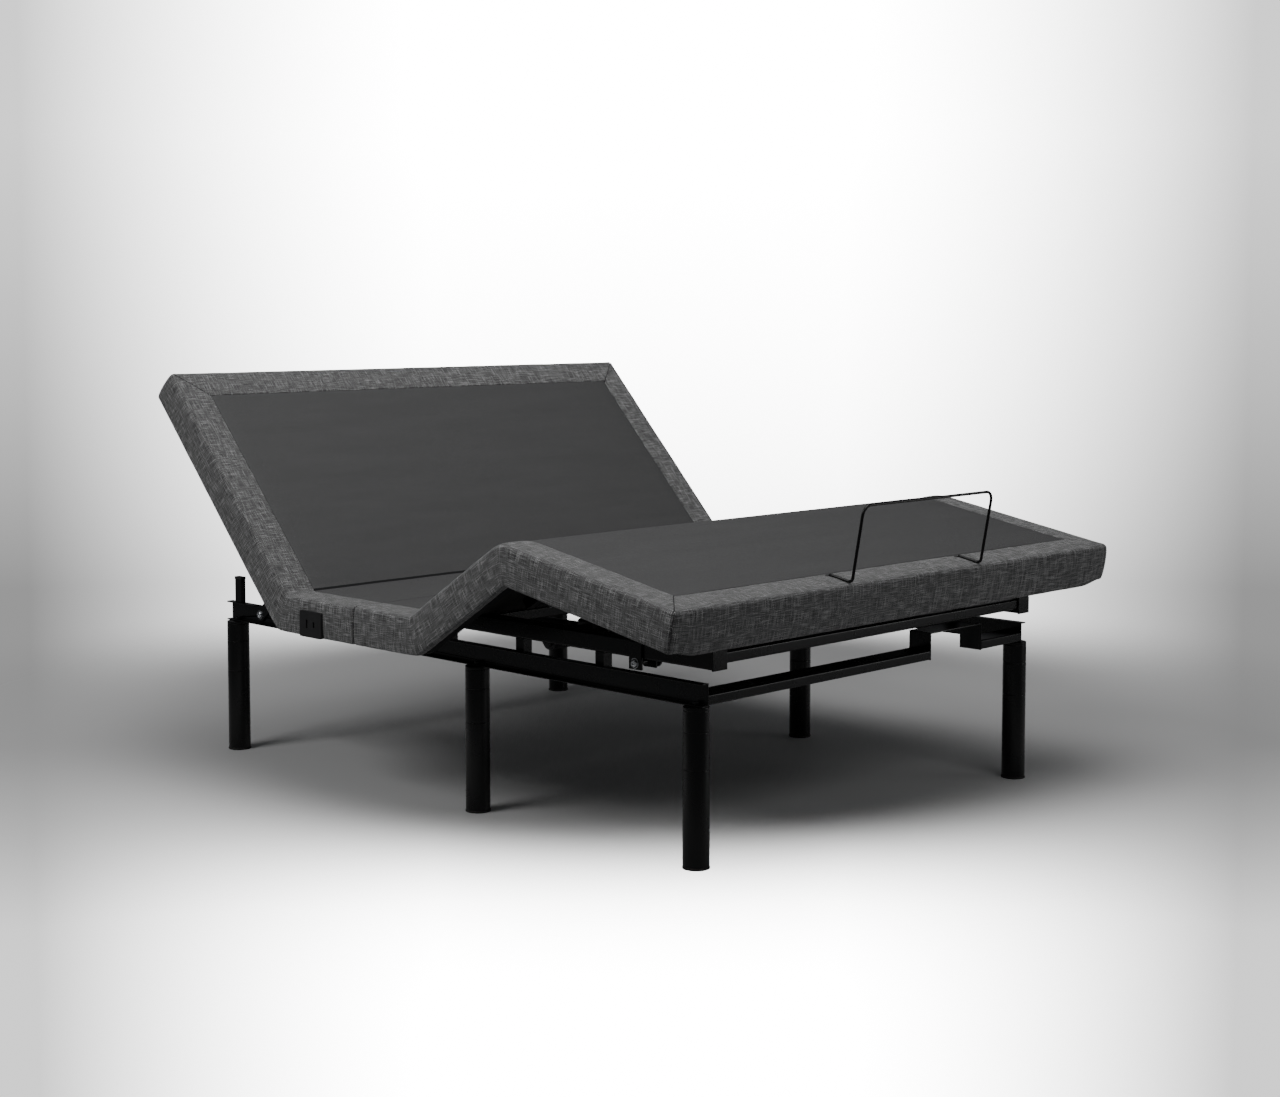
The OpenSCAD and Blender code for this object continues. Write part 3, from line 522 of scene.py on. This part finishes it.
class MeshParts:
    """Collects vertices and faces of several solids into one object."""

    def __init__(self):
        self.vertices, self.faces = [], []

    def add(self, vertices, faces):
        base = len(self.vertices)
        self.vertices += [tuple(v) for v in vertices]
        self.faces += [tuple(base + i for i in face) for face in faces]

    def loops(self, rings, closed_path=False):
        """A solid through a row of equal rings of points, with flat ends."""
        count, size = len(rings), len(rings[0])
        faces = []
        for i in range(count if closed_path else count - 1):
            a, b = i * size, (i + 1) % count * size
            for k in range(size):
                n = (k + 1) % size
                faces.append((a + k, a + n, b + n, b + k))
        if not closed_path:
            faces.append(tuple(reversed(range(size))))
            faces.append(tuple((count - 1) * size + k for k in range(size)))
        self.add([p for ring in rings for p in ring], faces)

    def make(self, name, material, sharp=40):
        return new_object(name, self.vertices, self.faces, [material], sharp=sharp)


def lathe(parts, profile, centre, axis="Z", segments=64):
    """A closed solid of revolution through (radius, distance) points."""
    rings = []
    for radius, distance in profile:
        ring = []
        for k in range(segments):
            a = 2 * math.pi * k / segments
            c, s = radius * math.cos(a), radius * math.sin(a)
            offset = {"Z": (c, s, distance), "X": (distance, c, s)}[axis]
            ring.append(Vector(centre) + Vector(offset))
        rings.append(ring)
    parts.loops(rings)


def tube(parts, points, radius, segments=14):
    """A round wire along a smooth path."""
    points = [Vector(p) for p in points]
    tangents = []
    for i, p in enumerate(points):
        before, after = points[max(0, i - 1)], points[min(len(points) - 1, i + 1)]
        tangents.append((after - before).normalized())
    normal = tangents[0].orthogonal().normalized()
    rings = []
    for p, tangent in zip(points, tangents):
        normal = (normal - tangent * normal.dot(tangent)).normalized()
        other = tangent.cross(normal)
        rings.append([p + radius * (math.cos(a) * normal + math.sin(a) * other)
                      for a in (2 * math.pi * k / segments for k in range(segments))])
    parts.loops(rings)


def rounded_path(corners, radii, steps=9):
    """A polyline whose inner corners are rounded."""
    path = [corners[0]]
    for before, here, after, radius in zip(corners, corners[1:], corners[2:], radii):
        into, out = (here - before).normalized(), (after - here).normalized()
        turn = into.angle(out)
        cut = radius * math.tan(turn / 2)
        start, bulge = here - into * cut, (out - into).normalized()
        centre = here + bulge * (radius / math.cos(turn / 2))
        arm = start - centre
        side = into
        for k in range(steps + 1):
            a = turn * k / steps
            path.append(centre + arm * math.cos(a) + side * radius * math.sin(a))
    path.append(corners[-1])
    return path


# ---- Border covers ----

def arc(centre, radius, start, end, steps):
    """(inset, height) points on an arc, angles in degrees."""
    return [(centre[0] + radius * math.cos(math.radians(a)),
             centre[1] + radius * math.sin(math.radians(a)))
            for a in np.linspace(start, end, steps)]


def border_section(width):
    """Closed outline of a border: (inset from the outer face, height) points, and the
    first and last of them that are fabric; the rest is black lining."""
    back_inset, rest = SKIRT - LINING_GAP, BOARD_TOP + BOARD_GAP
    under = [(back_inset, BOTTOM), (SKIRT * 0.62, BOTTOM), (SKIRT * 0.38, BOTTOM)]
    bottom = arc((BOTTOM_R, FACE_FOOT), BOTTOM_R, 270, 180, 5)
    face = []
    for k in range(1, 12):
        share = k / 12
        height = FACE_FOOT + share * (TOP - TOP_R - FACE_FOOT)
        face.append((-FACE_CROWN * math.sin(math.pi * share) ** 0.8, height))
    top_edge = arc((TOP_R, TOP - TOP_R), TOP_R, 180, 90, 7)
    top = []
    for k in range(1, 11):
        share = k / 11
        inset = TOP_R + share * (width - INNER_R - TOP_R)
        top.append((inset, TOP + TOP_CROWN * math.sin(math.pi * share) ** 0.8))
    inner = arc((width - INNER_R, TOP - INNER_R), INNER_R, 90, 0, 4)
    back = [(width, rest), (SKIRT + 14 * MM, rest), (SKIRT, rest), (back_inset, 0),
            (back_inset, BOTTOM / 2)]
    section = under + bottom + face + top_edge + top + inner + back
    fabric_from = len(under) - 1
    fabric_to = len(section) - len(back)
    return np.array(section), fabric_from, fabric_to


def section_normals(section):
    """Outward normals of the outline's points."""
    step = np.roll(section, -1, 0) - np.roll(section, 1, 0)
    normal = np.column_stack((-step[:, 1], step[:, 0]))
    return normal / np.linalg.norm(normal, axis=1)[:, None]


def slack(flat, end=None):
    """How far the fabric stands out at flat points, and their distance from the mitres
    of the deck's end."""
    seam = np.full(len(flat), 1.0)
    move = np.zeros(len(flat))
    if end is not None:
        inset_side, inset_end = HALF_W - np.abs(flat[:, 1]), np.abs(end - flat[:, 0])
        seam = np.abs(inset_side - inset_end) / math.sqrt(2)
        near = np.exp(-(seam / SEAM_PUFF[1]) ** 2)
        move += SEAM_PUFF[0] * near - SEAM_DEPTH * np.exp(-(seam / SEAM_HALF) ** 2)
    size, slow, quick = WAVES
    waves = [noise.noise(Vector(p) * slow) + 0.5 * noise.noise(Vector(p) * quick) for p in flat]
    move += size * np.array(waves)
    size, length, reach = RIPPLE
    for at, upper, lower in FOLDS:
        turn = abs(math.sin((upper.angle - lower.angle) / 2))
        gap = flat[:, 0] - at
        ripple = np.sin(gap * 2 * math.pi / length + 9 * flat[:, 2] / (TOP - BOTTOM))
        move += size * turn * ripple * np.exp(-(gap / reach) ** 2)
    return move, seam


def strip_stations(length, soft_start, mitre):
    """Distances along one side, closer together near rounded ends and mitres."""
    marks = set(np.round(np.linspace(0, length, int(length / STATION_STEP) + 1), 6))
    if soft_start:
        marks |= {SPLIT_R * (1 - math.cos(math.radians(a))) for a in range(18, 91, 18)}
    if mitre:
        marks |= {length - d * MM for d in MITRE_STATIONS}
    first, *others = sorted(marks)
    kept = [first]
    for mark in others:
        if mark - kept[-1] > STATION_LEAST:
            kept.append(mark)
    kept[-1] = length
    return kept


def end_sag(across, height):
    """How much lower the end skirts hang, away from the corners."""
    inwards = smooth_step((HALF_W - np.abs(across)) / END_SAG_REACH)
    return END_SAG * inwards * (TOP - height) / (TOP - BOTTOM)


def squeeze(distance, begin, inset):
    """Where the points of a cross-section at a distance lie, past the place where the
    sections begin to turn to the mitre."""
    short = np.maximum(CORNER_R, inset + CORNER_R_IN)
    return begin + (distance - begin) / MITRE_REACH * (MITRE_REACH - short)


class Border:
    """A swept border cover. It starts at one place along the deck, runs to an end of the
    deck, goes across it and comes back; with no end_width it is two straight strips."""

    def __init__(self, name, start, end, end_width=None, soft_start=False):
        self.name, self.start, self.end = name, start, end
        self.side = 1 if end > start else -1
        self.turns = end_width is not None
        self.soft_start = soft_start
        self.side_section, self.fabric_from, self.fabric_to = border_section(HALF_W - PAD_HALF)
        self.end_section = border_section(end_width)[0] if self.turns else self.side_section
        self.round = np.concatenate(([0], np.cumsum(np.linalg.norm(
            np.diff(self.side_section, axis=0), axis=1))))
        self.rows, self.on_end = [], []

    def soften(self, distance):
        """The section drawn in near a rounded end."""
        if not self.soft_start or distance >= SPLIT_R:
            return self.side_section
        inset = SPLIT_R - math.sqrt(max(0, SPLIT_R ** 2 - (SPLIT_R - distance) ** 2))
        return self.side_section - section_normals(self.side_section) * min(inset, SPLIT_DRAW)

    def row(self, along, across, height, on_end):
        self.rows.append(np.column_stack((along, across, height)))
        self.on_end.append(on_end)

    def side_row(self, distance, sign):
        section = self.soften(distance)
        inset, height = section[:, 0], section[:, 1]
        length = abs(self.end - self.start)
        travelled = np.full(len(section), distance)
        if self.turns and distance > length - MITRE_REACH:
            travelled = squeeze(distance, length - MITRE_REACH, inset)
        along = self.start + self.side * travelled
        self.row(along, sign * (HALF_W - inset), height, False)

    def corner_rows(self, sign, leaving):
        """Rows round one upright corner; leaving is from the side onto the end."""
        angles = [0, 14, 27, 36, 42, 45, 48, 54, 63, 76, 90]
        for a in angles if leaving else reversed(angles):
            share = smooth_step(a / 90)
            section = self.side_section * (1 - share) + self.end_section * share
            inset, height = section[:, 0], section[:, 1]
            centre = np.maximum(CORNER_R, inset + CORNER_R_IN)
            c, s = math.cos(math.radians(a)), math.sin(math.radians(a))
            across = sign * (HALF_W - centre + (centre - inset) * c)
            along = self.end - self.side * (centre - (centre - inset) * s)
            on_end = a > 45 or (a == 45 and leaving)
            self.row(along, across, height, on_end)

    def end_rows(self):
        marks = strip_stations(HALF_W, False, True)
        marks = [-m for m in reversed(marks)] + marks[1:]
        for mark in marks[1:-1]:
            inset, height = self.end_section[:, 0], self.end_section[:, 1]
            height = height - end_sag(mark, height)
            reach = HALF_W - MITRE_REACH
            across = np.full(len(inset), mark)
            if abs(mark) > reach:
                across = np.sign(mark) * squeeze(abs(mark), reach, inset)
            self.row(self.end - self.side * inset, across, height, True)

    def relief(self, flat):
        """Moves points out and in: the seam groove, slack fabric and its small waves."""
        section_index = np.tile(np.arange(len(self.side_section)), len(self.rows))
        normals = np.tile(section_normals(self.side_section), (len(self.rows), 1))
        move, self.seam = slack(flat, self.end if self.turns else None)
        outside = (section_index >= self.fabric_from) & (section_index <= self.fabric_to)
        move = np.where(outside, move, 0)
        across_end = np.zeros(len(flat), bool)
        if self.turns:
            across_end = np.abs(self.end - flat[:, 0]) < HALF_W - np.abs(flat[:, 1])
        out = np.zeros_like(flat)
        out[:, 2] = normals[:, 1] * move
        level = -normals[:, 0] * move
        out[:, 1] = np.where(across_end, 0, np.sign(flat[:, 1]) * level)
        out[:, 0] = np.where(across_end, self.side * level, 0)
        return flat + out

    def build(self):
        marks = strip_stations(abs(self.end - self.start), self.soft_start, self.turns)
        if self.turns:
            marks.pop()
        for distance in marks:
            self.side_row(distance, -1)
        gap = len(self.rows)
        if self.turns:
            gap = None
            self.corner_rows(-1, True)
            self.end_rows()
            self.corner_rows(1, False)
        for distance in reversed(marks):
            self.side_row(distance, 1)
        return self.mesh(gap)

    def mesh(self, gap):
        """The folded cover; gap is the row that a second, separate strip starts with."""
        size = len(self.side_section)
        count = len(self.rows)
        flat = self.relief(np.vstack(self.rows))
        faces, looks, weave = [], [], []
        for i in range(count - 1):
            if i + 1 == gap:
                continue
            on_end = self.on_end[i] and self.on_end[i + 1]
            for k in range(size):
                n = (k + 1) % size
                corners = ((i, k), (i, n), (i + 1, n), (i + 1, k))
                faces.append([r * size + c for r, c in corners])
                outside = self.fabric_from <= k < self.fabric_to
                # Faces in the seam's groove get the black lining: painted shade in the seam.
                painted_seam_shade = np.mean(self.seam[faces[-1]]) < SEAM_HALF
                looks.append(int(painted_seam_shade or not outside))
                for r, c in corners:
                    point = flat[r * size + c]
                    along = point[1] if on_end else point[0]
                    wrap = self.round[-1] + self.round[1] if (c == 0 and k) else self.round[c]
                    weave.append((along, wrap, 3.0 * on_end + (0 if point[1] < 0 else 1.3)))
        ends = [0, gap - 1, gap, count - 1] if gap else [0, count - 1]
        for j, e in enumerate(ends):
            ring = [e * size + k for k in range(size)]
            faces.append(ring[::-1] if j % 2 == 0 else ring)
            looks.append(0)
            weave += [(flat[v][2], self.round[v % size], 7) for v in faces[-1]]
        made = new_object(self.name, fold(flat), faces, [LINEN, LINING], sharp=50)
        made.data.polygons.foreach_set("material_index", looks)
        layer = made.data.attributes.new("weave", "FLOAT_VECTOR", "CORNER")
        layer.data.foreach_set("vector", np.array(weave, float).ravel())
        made.data.update()
        return made


def cover_deck():
    """The three border covers, each across one fold."""
    end_border = HEAD_END - PAD_HEAD_END
    head = Border("head_cover", SPLIT[0], HEAD_END, end_border, soft_start=True).build()
    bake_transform(head)
    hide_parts("head_border", "seat_rear_border")
    middle = Border("thigh_cover", SPLIT[1], MID_THIGH, soft_start=True).build()
    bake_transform(middle)
    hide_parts("seat_front_border", "thigh_border")
    foot = Border("foot_cover", MID_THIGH, FOOT_END, end_border).build()
    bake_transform(foot)
    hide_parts("foot_border")


# ---- Pads ----

def make_pad(name, start, end, replaced):
    """A thin padded sheet on the boards, rounded at its free edges."""
    count_x, count_t = 44, max(8, int(abs(end - start) / STATION_STEP))
    low, high = BOARD_TOP + PAD_LIFT, TOP - PAD_DROP
    half = PAD_HALF
    across = list(np.linspace(-half + PAD_EDGE, half - PAD_EDGE, count_x))
    edge = [math.radians(a) for a in (0, 30, 60)]
    section = [(-half + PAD_EDGE * (1 - math.cos(a)), high - PAD_EDGE * (1 - math.sin(a)))
               for a in edge]
    section += [(x, high + PAD_CROWN * (1 - (x / half) ** 8)) for x in across]
    section += [(-x, z) for x, z in reversed(section[:3])]
    section += [(half - 1 * MM, low), (0, low), (-half + 1 * MM, low)]
    section = np.array(section)
    stations = list(np.linspace(start, end, count_t))
    side = 1 if end > start else -1
    for a in edge[1:] + [math.pi / 2]:
        step = side * PAD_EDGE * (1 - math.cos(a))
        stations += [start + step, end - step]
    # Extra stations at the edges of the painted crease shade strip.
    stations += [b for b in PAINTED_CREASE_SHADE if min(start, end) < b < max(start, end)]
    stations = sorted(set(stations), reverse=side < 0)
    rows = []
    for t in stations:
        drop = 0
        for limit, free in ((start, start in SPLIT), (end, end in (PAD_HEAD_END, PAD_FOOT_END))):
            gap = abs(t - limit)
            if free and gap < PAD_EDGE:
                drop = PAD_EDGE - math.sqrt(PAD_EDGE ** 2 - (PAD_EDGE - gap) ** 2)
        rows.append(np.column_stack((np.full(len(section), t), section[:, 0],
                                     np.maximum(low, section[:, 1] - drop))))
    flat = np.vstack(rows)
    size = len(section)
    index = np.tile(np.arange(size), len(rows))
    waves = np.array([noise.noise(Vector(p) * 9) for p in flat])
    flat[:, 2] += np.where(index < size - 3, 0.25 * MM * waves, 0)
    parts = MeshParts()
    world = fold(flat)
    parts.loops([world[i * size:(i + 1) * size] for i in range(len(rows))])
    made = parts.make(name, MESH, sharp=60)
    # Faces in that strip get the black lining: painted shade of the crease below the head pad.
    made.data.materials.append(LINING)
    for face in made.data.polygons:
        middle = np.mean(flat[list(face.vertices), 0])
        face.material_index = int(PAINTED_CREASE_SHADE[0] < middle < PAINTED_CREASE_SHADE[1])
    layer = made.data.attributes.new("weave", "FLOAT_VECTOR", "POINT")
    layer.data.foreach_set("vector", flat.ravel())
    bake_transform(made)
    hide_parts(*replaced)


def pad_deck():
    make_pad("head_mesh_pad", SPLIT[0], PAD_HEAD_END,
             ("head_pad", "seat_rear_pad"))
    make_pad("thigh_mesh_pad", SPLIT[1], MID_THIGH,
             ("seat_front_pad", "thigh_pad"))
    make_pad("foot_mesh_pad", MID_THIGH, PAD_FOOT_END,
             ("foot_pad",))


cover_deck()
pad_deck()


# ---- Stitches ----

def capsule(parts, start, end, radius):
    """One stitch: a short thread with rounded ends."""
    start, end = Vector(start), Vector(end)
    run = end - start
    side = run.orthogonal().normalized()
    other = run.normalized().cross(side)
    rings = []
    for share, size in ((0, 0.35), (0.12, 0.85), (0.3, 1), (0.7, 1), (0.88, 0.85), (1, 0.35)):
        rings.append([start + run * share + radius * size * (math.cos(a) * side
                      + math.sin(a) * other) for a in (math.pi * k / 3 for k in range(6))])
    parts.loops(rings)


def sew(parts, starts, ends, outward, end):
    """Lays stitches on the fabric between flat points; outward is its flat normal."""
    starts, ends, outward = (np.asarray(v, float) for v in (starts, ends, outward))
    lift = slack((starts + ends) / 2, end)[0] + 0.15 * MM
    shift = outward * lift[:, None]
    for a, b in zip(fold(starts + shift), fold(ends + shift)):
        capsule(parts, a, b, STITCH_R)


def end_stitches(name, end, side, body):
    """A hem row across one end of the deck and two rows beside each corner's seam."""
    parts = MeshParts()
    reach = HALF_W - 2 * CORNER_R
    xs = np.arange(-reach, reach, STITCH_PITCH)
    low = BOTTOM + HEM_HEIGHT
    crown = 0.35 * MM
    row = np.column_stack((np.full(len(xs), end + side * crown), xs, low - end_sag(xs, low)))
    sew(parts, row, row + (0, STITCH_LENGTH, 0), np.tile((side, 0, 0), (len(xs), 1)), end)
    heights = np.arange(low, TOP - TOP_R - STITCH_LENGTH, STITCH_PITCH)
    for hand in (-1, 1):
        for turn in (-SEAM_ROW, SEAM_ROW):
            a = math.pi / 4 + turn / CORNER_R
            outward = np.array((side * math.sin(a), hand * math.cos(a), 0))
            centre = np.array((end - side * CORNER_R, hand * (HALF_W - CORNER_R), 0))
            share = (heights + STITCH_LENGTH / 2 - FACE_FOOT) / (TOP - TOP_R - FACE_FOOT)
            swell = CORNER_R + FACE_CROWN * np.sin(np.pi * np.clip(share, 0, 1)) ** 0.8
            row = centre + swell[:, None] * outward
            row[:, 2] = heights
            sew(parts, row, row + (0, 0, STITCH_LENGTH),
                np.tile(outward, (len(heights), 1)), end)
    stitched = parts.make(name, THREAD_LOOK)
    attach(stitched, body)


end_stitches("head_end_stitches", HEAD_END, 1, "head_panel")
end_stitches("foot_end_stitches", FOOT_END, -1, "foot_panel")


# ---- Legs, bolts and retainer bar ----

def make_legs():
    """Stacked leg sections with chamfered joints, each on a lipped rubber foot."""
    floor_mounts = [m["pos_m"] for m in frame["record"]["mounts"] if m["name"].startswith("floor")]
    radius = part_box("leg_lower_sections")[1].x - max(p[0] for p in floor_mounts)
    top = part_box("side_rail_left")[0].z
    joints_z = [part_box(f"leg_{part}_sections")[0].z for part in ("lower", "middle", "upper")]
    levels = [*joints_z, top - LEG_COLLAR, top]
    tubes, feet = MeshParts(), MeshParts()
    c = LEG_CHAMFER
    for x, y, _ in floor_mounts:
        for z0, z1 in zip(levels, levels[1:]):
            edge = [(radius - c, 0), (radius - 0.3 * c, 0.3 * c), (radius, c),
                    (radius, 1.4 * c)]
            lathe(tubes, [(rad, z0 + up) for rad, up in edge] +
                  [(rad, z1 - up) for rad, up in reversed(edge)], (x, y, 0))
        lip = joints_z[0]
        lathe(feet, [(radius - 1 * MM, 0), (radius + 0.7 * MM, 0.1 * lip),
                     (radius + 1 * MM, 0.4 * lip), (radius + 0.7 * MM, 0.8 * lip),
                     (radius - 0.5 * MM, lip)], (x, y, 0))
    legs = tubes.make("screw_on_legs", POWDER, sharp=30)
    glides = feet.make("leg_feet", RUBBER, sharp=50)
    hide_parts("leg_upper_sections", "leg_middle_sections", "leg_lower_sections")
    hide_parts("leg_glides")
    for piece, slot in ((legs, "black_powder"), (glides, "rubber")):
        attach(piece, "base")


def right_side_span(name):
    """From where to where, across the bed, the half of a node at +X reaches."""
    across = node_points(name)[:, 0]
    across = across[across > 0]
    return float(across.min()), float(across.max())


def make_bolts():
    """The braces' bolts, and the foot links' pivots: each a bolt with a black spacer."""
    head_parts, pin_parts, shafts = MeshParts(), MeshParts(), MeshParts()
    low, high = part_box("head_braces")
    plate = high.x
    eye = BRACE_EYE_R
    places = [(high.y - eye, low.z + eye), (low.y + eye, high.z - eye)]
    link_in, link_out = right_side_span("foot_links")
    tube_in, tube_out = (corner.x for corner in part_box("upper_rail_right"))
    spacer_end = tube_in - (plate - tube_out)
    _, pivot_y, pivot_z = joint_place("foot_link_swing")
    for side in (-1, 1):
        head = [(rad * MM, side * (plate + out * MM)) for rad, out in BOLT_HEAD]
        for y, z in places:
            lathe(head_parts, head, (0, y, z), "X", 40)
        shaft = [(PIN_R - 1 * MM, link_in - 3 * MM), (PIN_R, link_in - 2 * MM),
                 (PIN_R, link_out + 0.3 * MM), (SPACER_R, link_out + 0.3 * MM),
                 (SPACER_R, spacer_end), (PIN_R, spacer_end), (PIN_R, plate)]
        pivot = (0, pivot_y, pivot_z)
        lathe(pin_parts, head, pivot, "X", 40)
        lathe(shafts, [(rad, side * x) for rad, x in shaft], pivot, "X", 40)
    for piece, replaced in ((head_parts.make("brace_bolt_heads", ZINC), "brace_bolts"),
                            (pin_parts.make("foot_pivot_bolts", ZINC), "foot_pivot_pins")):
        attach(piece, "base")
        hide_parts(replaced)
    spacers = shafts.make("foot_pivot_spacers", POWDER)
    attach(spacers, "base")


def make_retainer_bar():
    """Bent wire: out of a socket, along the fabric, up at the foot end and across."""
    low, high = foot_panel.box("retainer_bar")
    run = (high[0] - WIRE_R, low[0] + WIRE_R)
    half, top = high[1] - WIRE_R, high[2] - WIRE_R
    rest = TOP + WIRE_R + 0.9 * MM
    corners = []
    for side in (-1, 1):
        arm = [(run[0], side * half, BOARD_TOP), (run[0], side * half, rest),
               (run[1], side * half, rest), (run[1], side * half, top)]
        corners += arm if side < 0 else arm[::-1]
    corners = [foot_panel.world(*c) for c in corners]
    radii = [WIRE_BEND, WIRE_BEND, WIRE_CORNER, WIRE_CORNER, WIRE_BEND, WIRE_BEND]
    parts = MeshParts()
    tube(parts, rounded_path(corners, radii), WIRE_R)
    bar = parts.make("mattress_retainer_bar", POWDER)
    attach(bar, "foot_panel")
    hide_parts("retainer_bar")
    make_eyelets(run[0], half)


def make_eyelets(place, half):
    """Rings where the wire goes down through the fabric."""
    normal = Vector((0, *foot_panel.normal))
    across, along = Vector((1, 0, 0)), Vector((0, *foot_panel.along))
    rings = MeshParts()
    for side in (-1, 1):
        centre = foot_panel.world(place, side * half, TOP)
        loops = []
        for k in range(36):
            a = 2 * math.pi * k / 36
            out = across * math.cos(a) + along * math.sin(a)
            loops.append([centre + out * (WIRE_R + gap * MM) + normal * (up * MM)
                          for gap, up in EYELET])
        rings.loops(loops, closed_path=True)
    eyelets = rings.make("retainer_eyelets", PLASTIC)
    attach(eyelets, "foot_panel")


make_legs()
make_bolts()
make_retainer_bar()


# ---- Carried-over CAD nodes ----

def dress(names, material, bevel=0.7 * MM):
    """Gives CAD nodes a material and softens their edges with modifiers."""
    for name in names:
        node = nodes[name]
        node.data.materials.clear()
        node.data.materials.append(material)
        weld = node.modifiers.new("weld", "WELD")
        weld.merge_threshold = 0.02 * MM
        round_edges = node.modifiers.new("edges", "BEVEL")
        round_edges.width = bevel
        round_edges.segments = 2
        round_edges.limit_method = "ANGLE"
        round_edges.angle_limit = math.radians(50)
        even = node.modifiers.new("shading", "WEIGHTED_NORMAL")
        even.weight = 80


dress(["side_rail_left", "side_rail_right", "foot_crossmember", "crossmember_bridge",
       "head_crossmember", "upper_rail_left", "upper_rail_right", "upper_foot_tube"],
      POWDER, 1.2 * MM)
dress(["actuator_mount_tubes", "frame_risers", "frame_end_caps", "head_braces",
       "foot_pivot_brackets", "head_rest_posts", "head_frame", "thigh_frame", "foot_frame",
       "foot_links", "leg_stud_nuts"], POWDER)
dress(["outlet_left", "outlet_right", "control_box", "head_actuator_housing",
       "head_actuator_motor", "foot_actuator_housing", "foot_actuator_motor",
       "retainer_sockets"], PLASTIC, 0.9 * MM)
dress(["head_rest_caps"], RUBBER)
dress(["head_hinge_bases", "head_hinge_leaves",
       "thigh_hinge_bases", "thigh_hinge_leaves", "knee_hinge_bases", "knee_hinge_leaves",
       "head_actuator_rod", "foot_actuator_rod", "actuator_rear_pins"], ZINC, 0.4 * MM)
dress(["seat_rear_board", "seat_front_board", "head_board", "thigh_board", "foot_board"],
      BOARD, 0.8 * MM)


# ---- Floor and light ----

def make_floor():
    count, rings = 96, [0.01] + [FADE[1] * k / 24 for k in range(1, 25)]
    turns = [2 * math.pi * k / count for k in range(count)]
    vertices = [(FADE_CENTRE[0] + r * math.cos(a), FADE_CENTRE[1] + r * math.sin(a), 0)
                for r in rings for a in turns]
    faces = [tuple(range(count))]
    for i in range(len(rings) - 1):
        for k in range(count):
            n = (k + 1) % count
            faces.append((i * count + k, (i + 1) * count + k, (i + 1) * count + n,
                          i * count + n))
    new_object("studio_floor", vertices, faces, [pale_floor()], sharp=0)


def area_light(name, place, aim, size, power):
    lamp = bpy.data.lights.new(name, "AREA")
    lamp.shape = "RECTANGLE"
    lamp.size, lamp.size_y = size
    lamp.energy = power
    made = bpy.data.objects.new(name, lamp)
    bpy.context.scene.collection.objects.link(made)
    made.location = place
    made.rotation_euler = (Vector(aim) - Vector(place)).to_track_quat("-Z", "Y").to_euler()
    made.visible_camera = False


def studio_world():
    """Soft even light for the bed; the eye sees a paler background of painted light, brightest behind it, with
    painted shade round the horizon.
    """
    world = bpy.data.worlds.new("studio")
    bpy.context.scene.world = world
    world.use_nodes = True
    w = Nodes(world.node_tree)
    fill = w.tree.nodes["Background"]
    fill.inputs["Color"].default_value = (0.95, 0.97, 1, 1)
    fill.inputs["Strength"].default_value = FILL
    direction = w.add("TexCoord").outputs["Generated"]
    compass = w.add("VectorMath", {0: w.scaled(direction, (1, 1, 0))}, operation="NORMALIZE")
    facing = w.add("VectorMath", {0: compass.outputs[0], 1: BACKDROP_WAY},
                   operation="DOT_PRODUCT").outputs["Value"]
    sideways = w.map(facing, BACKDROP_REACH, [math.log(strength) for strength in BACKDROP])
    height = w.map(w.add("SeparateXYZ", {0: direction}).outputs["Z"], BACKDROP_RISE)
    strength = w.math("MULTIPLY", w.math("EXPONENT", sideways), w.ramp(height, *HORIZON))
    backdrop = w.add("Background", {"Color": (1, 1, 1, 1), "Strength": strength})
    seen = w.add("LightPath").outputs["Is Camera Ray"]
    mix = w.add("MixShader", {0: seen, 1: fill.outputs[0], 2: backdrop.outputs[0]})
    w.feed(w.tree.nodes["World Output"].inputs["Surface"], mix.outputs[0])


make_floor()
studio_world()
for lamp_name, lamp_setup in LAMPS.items():
    area_light(lamp_name, *lamp_setup)
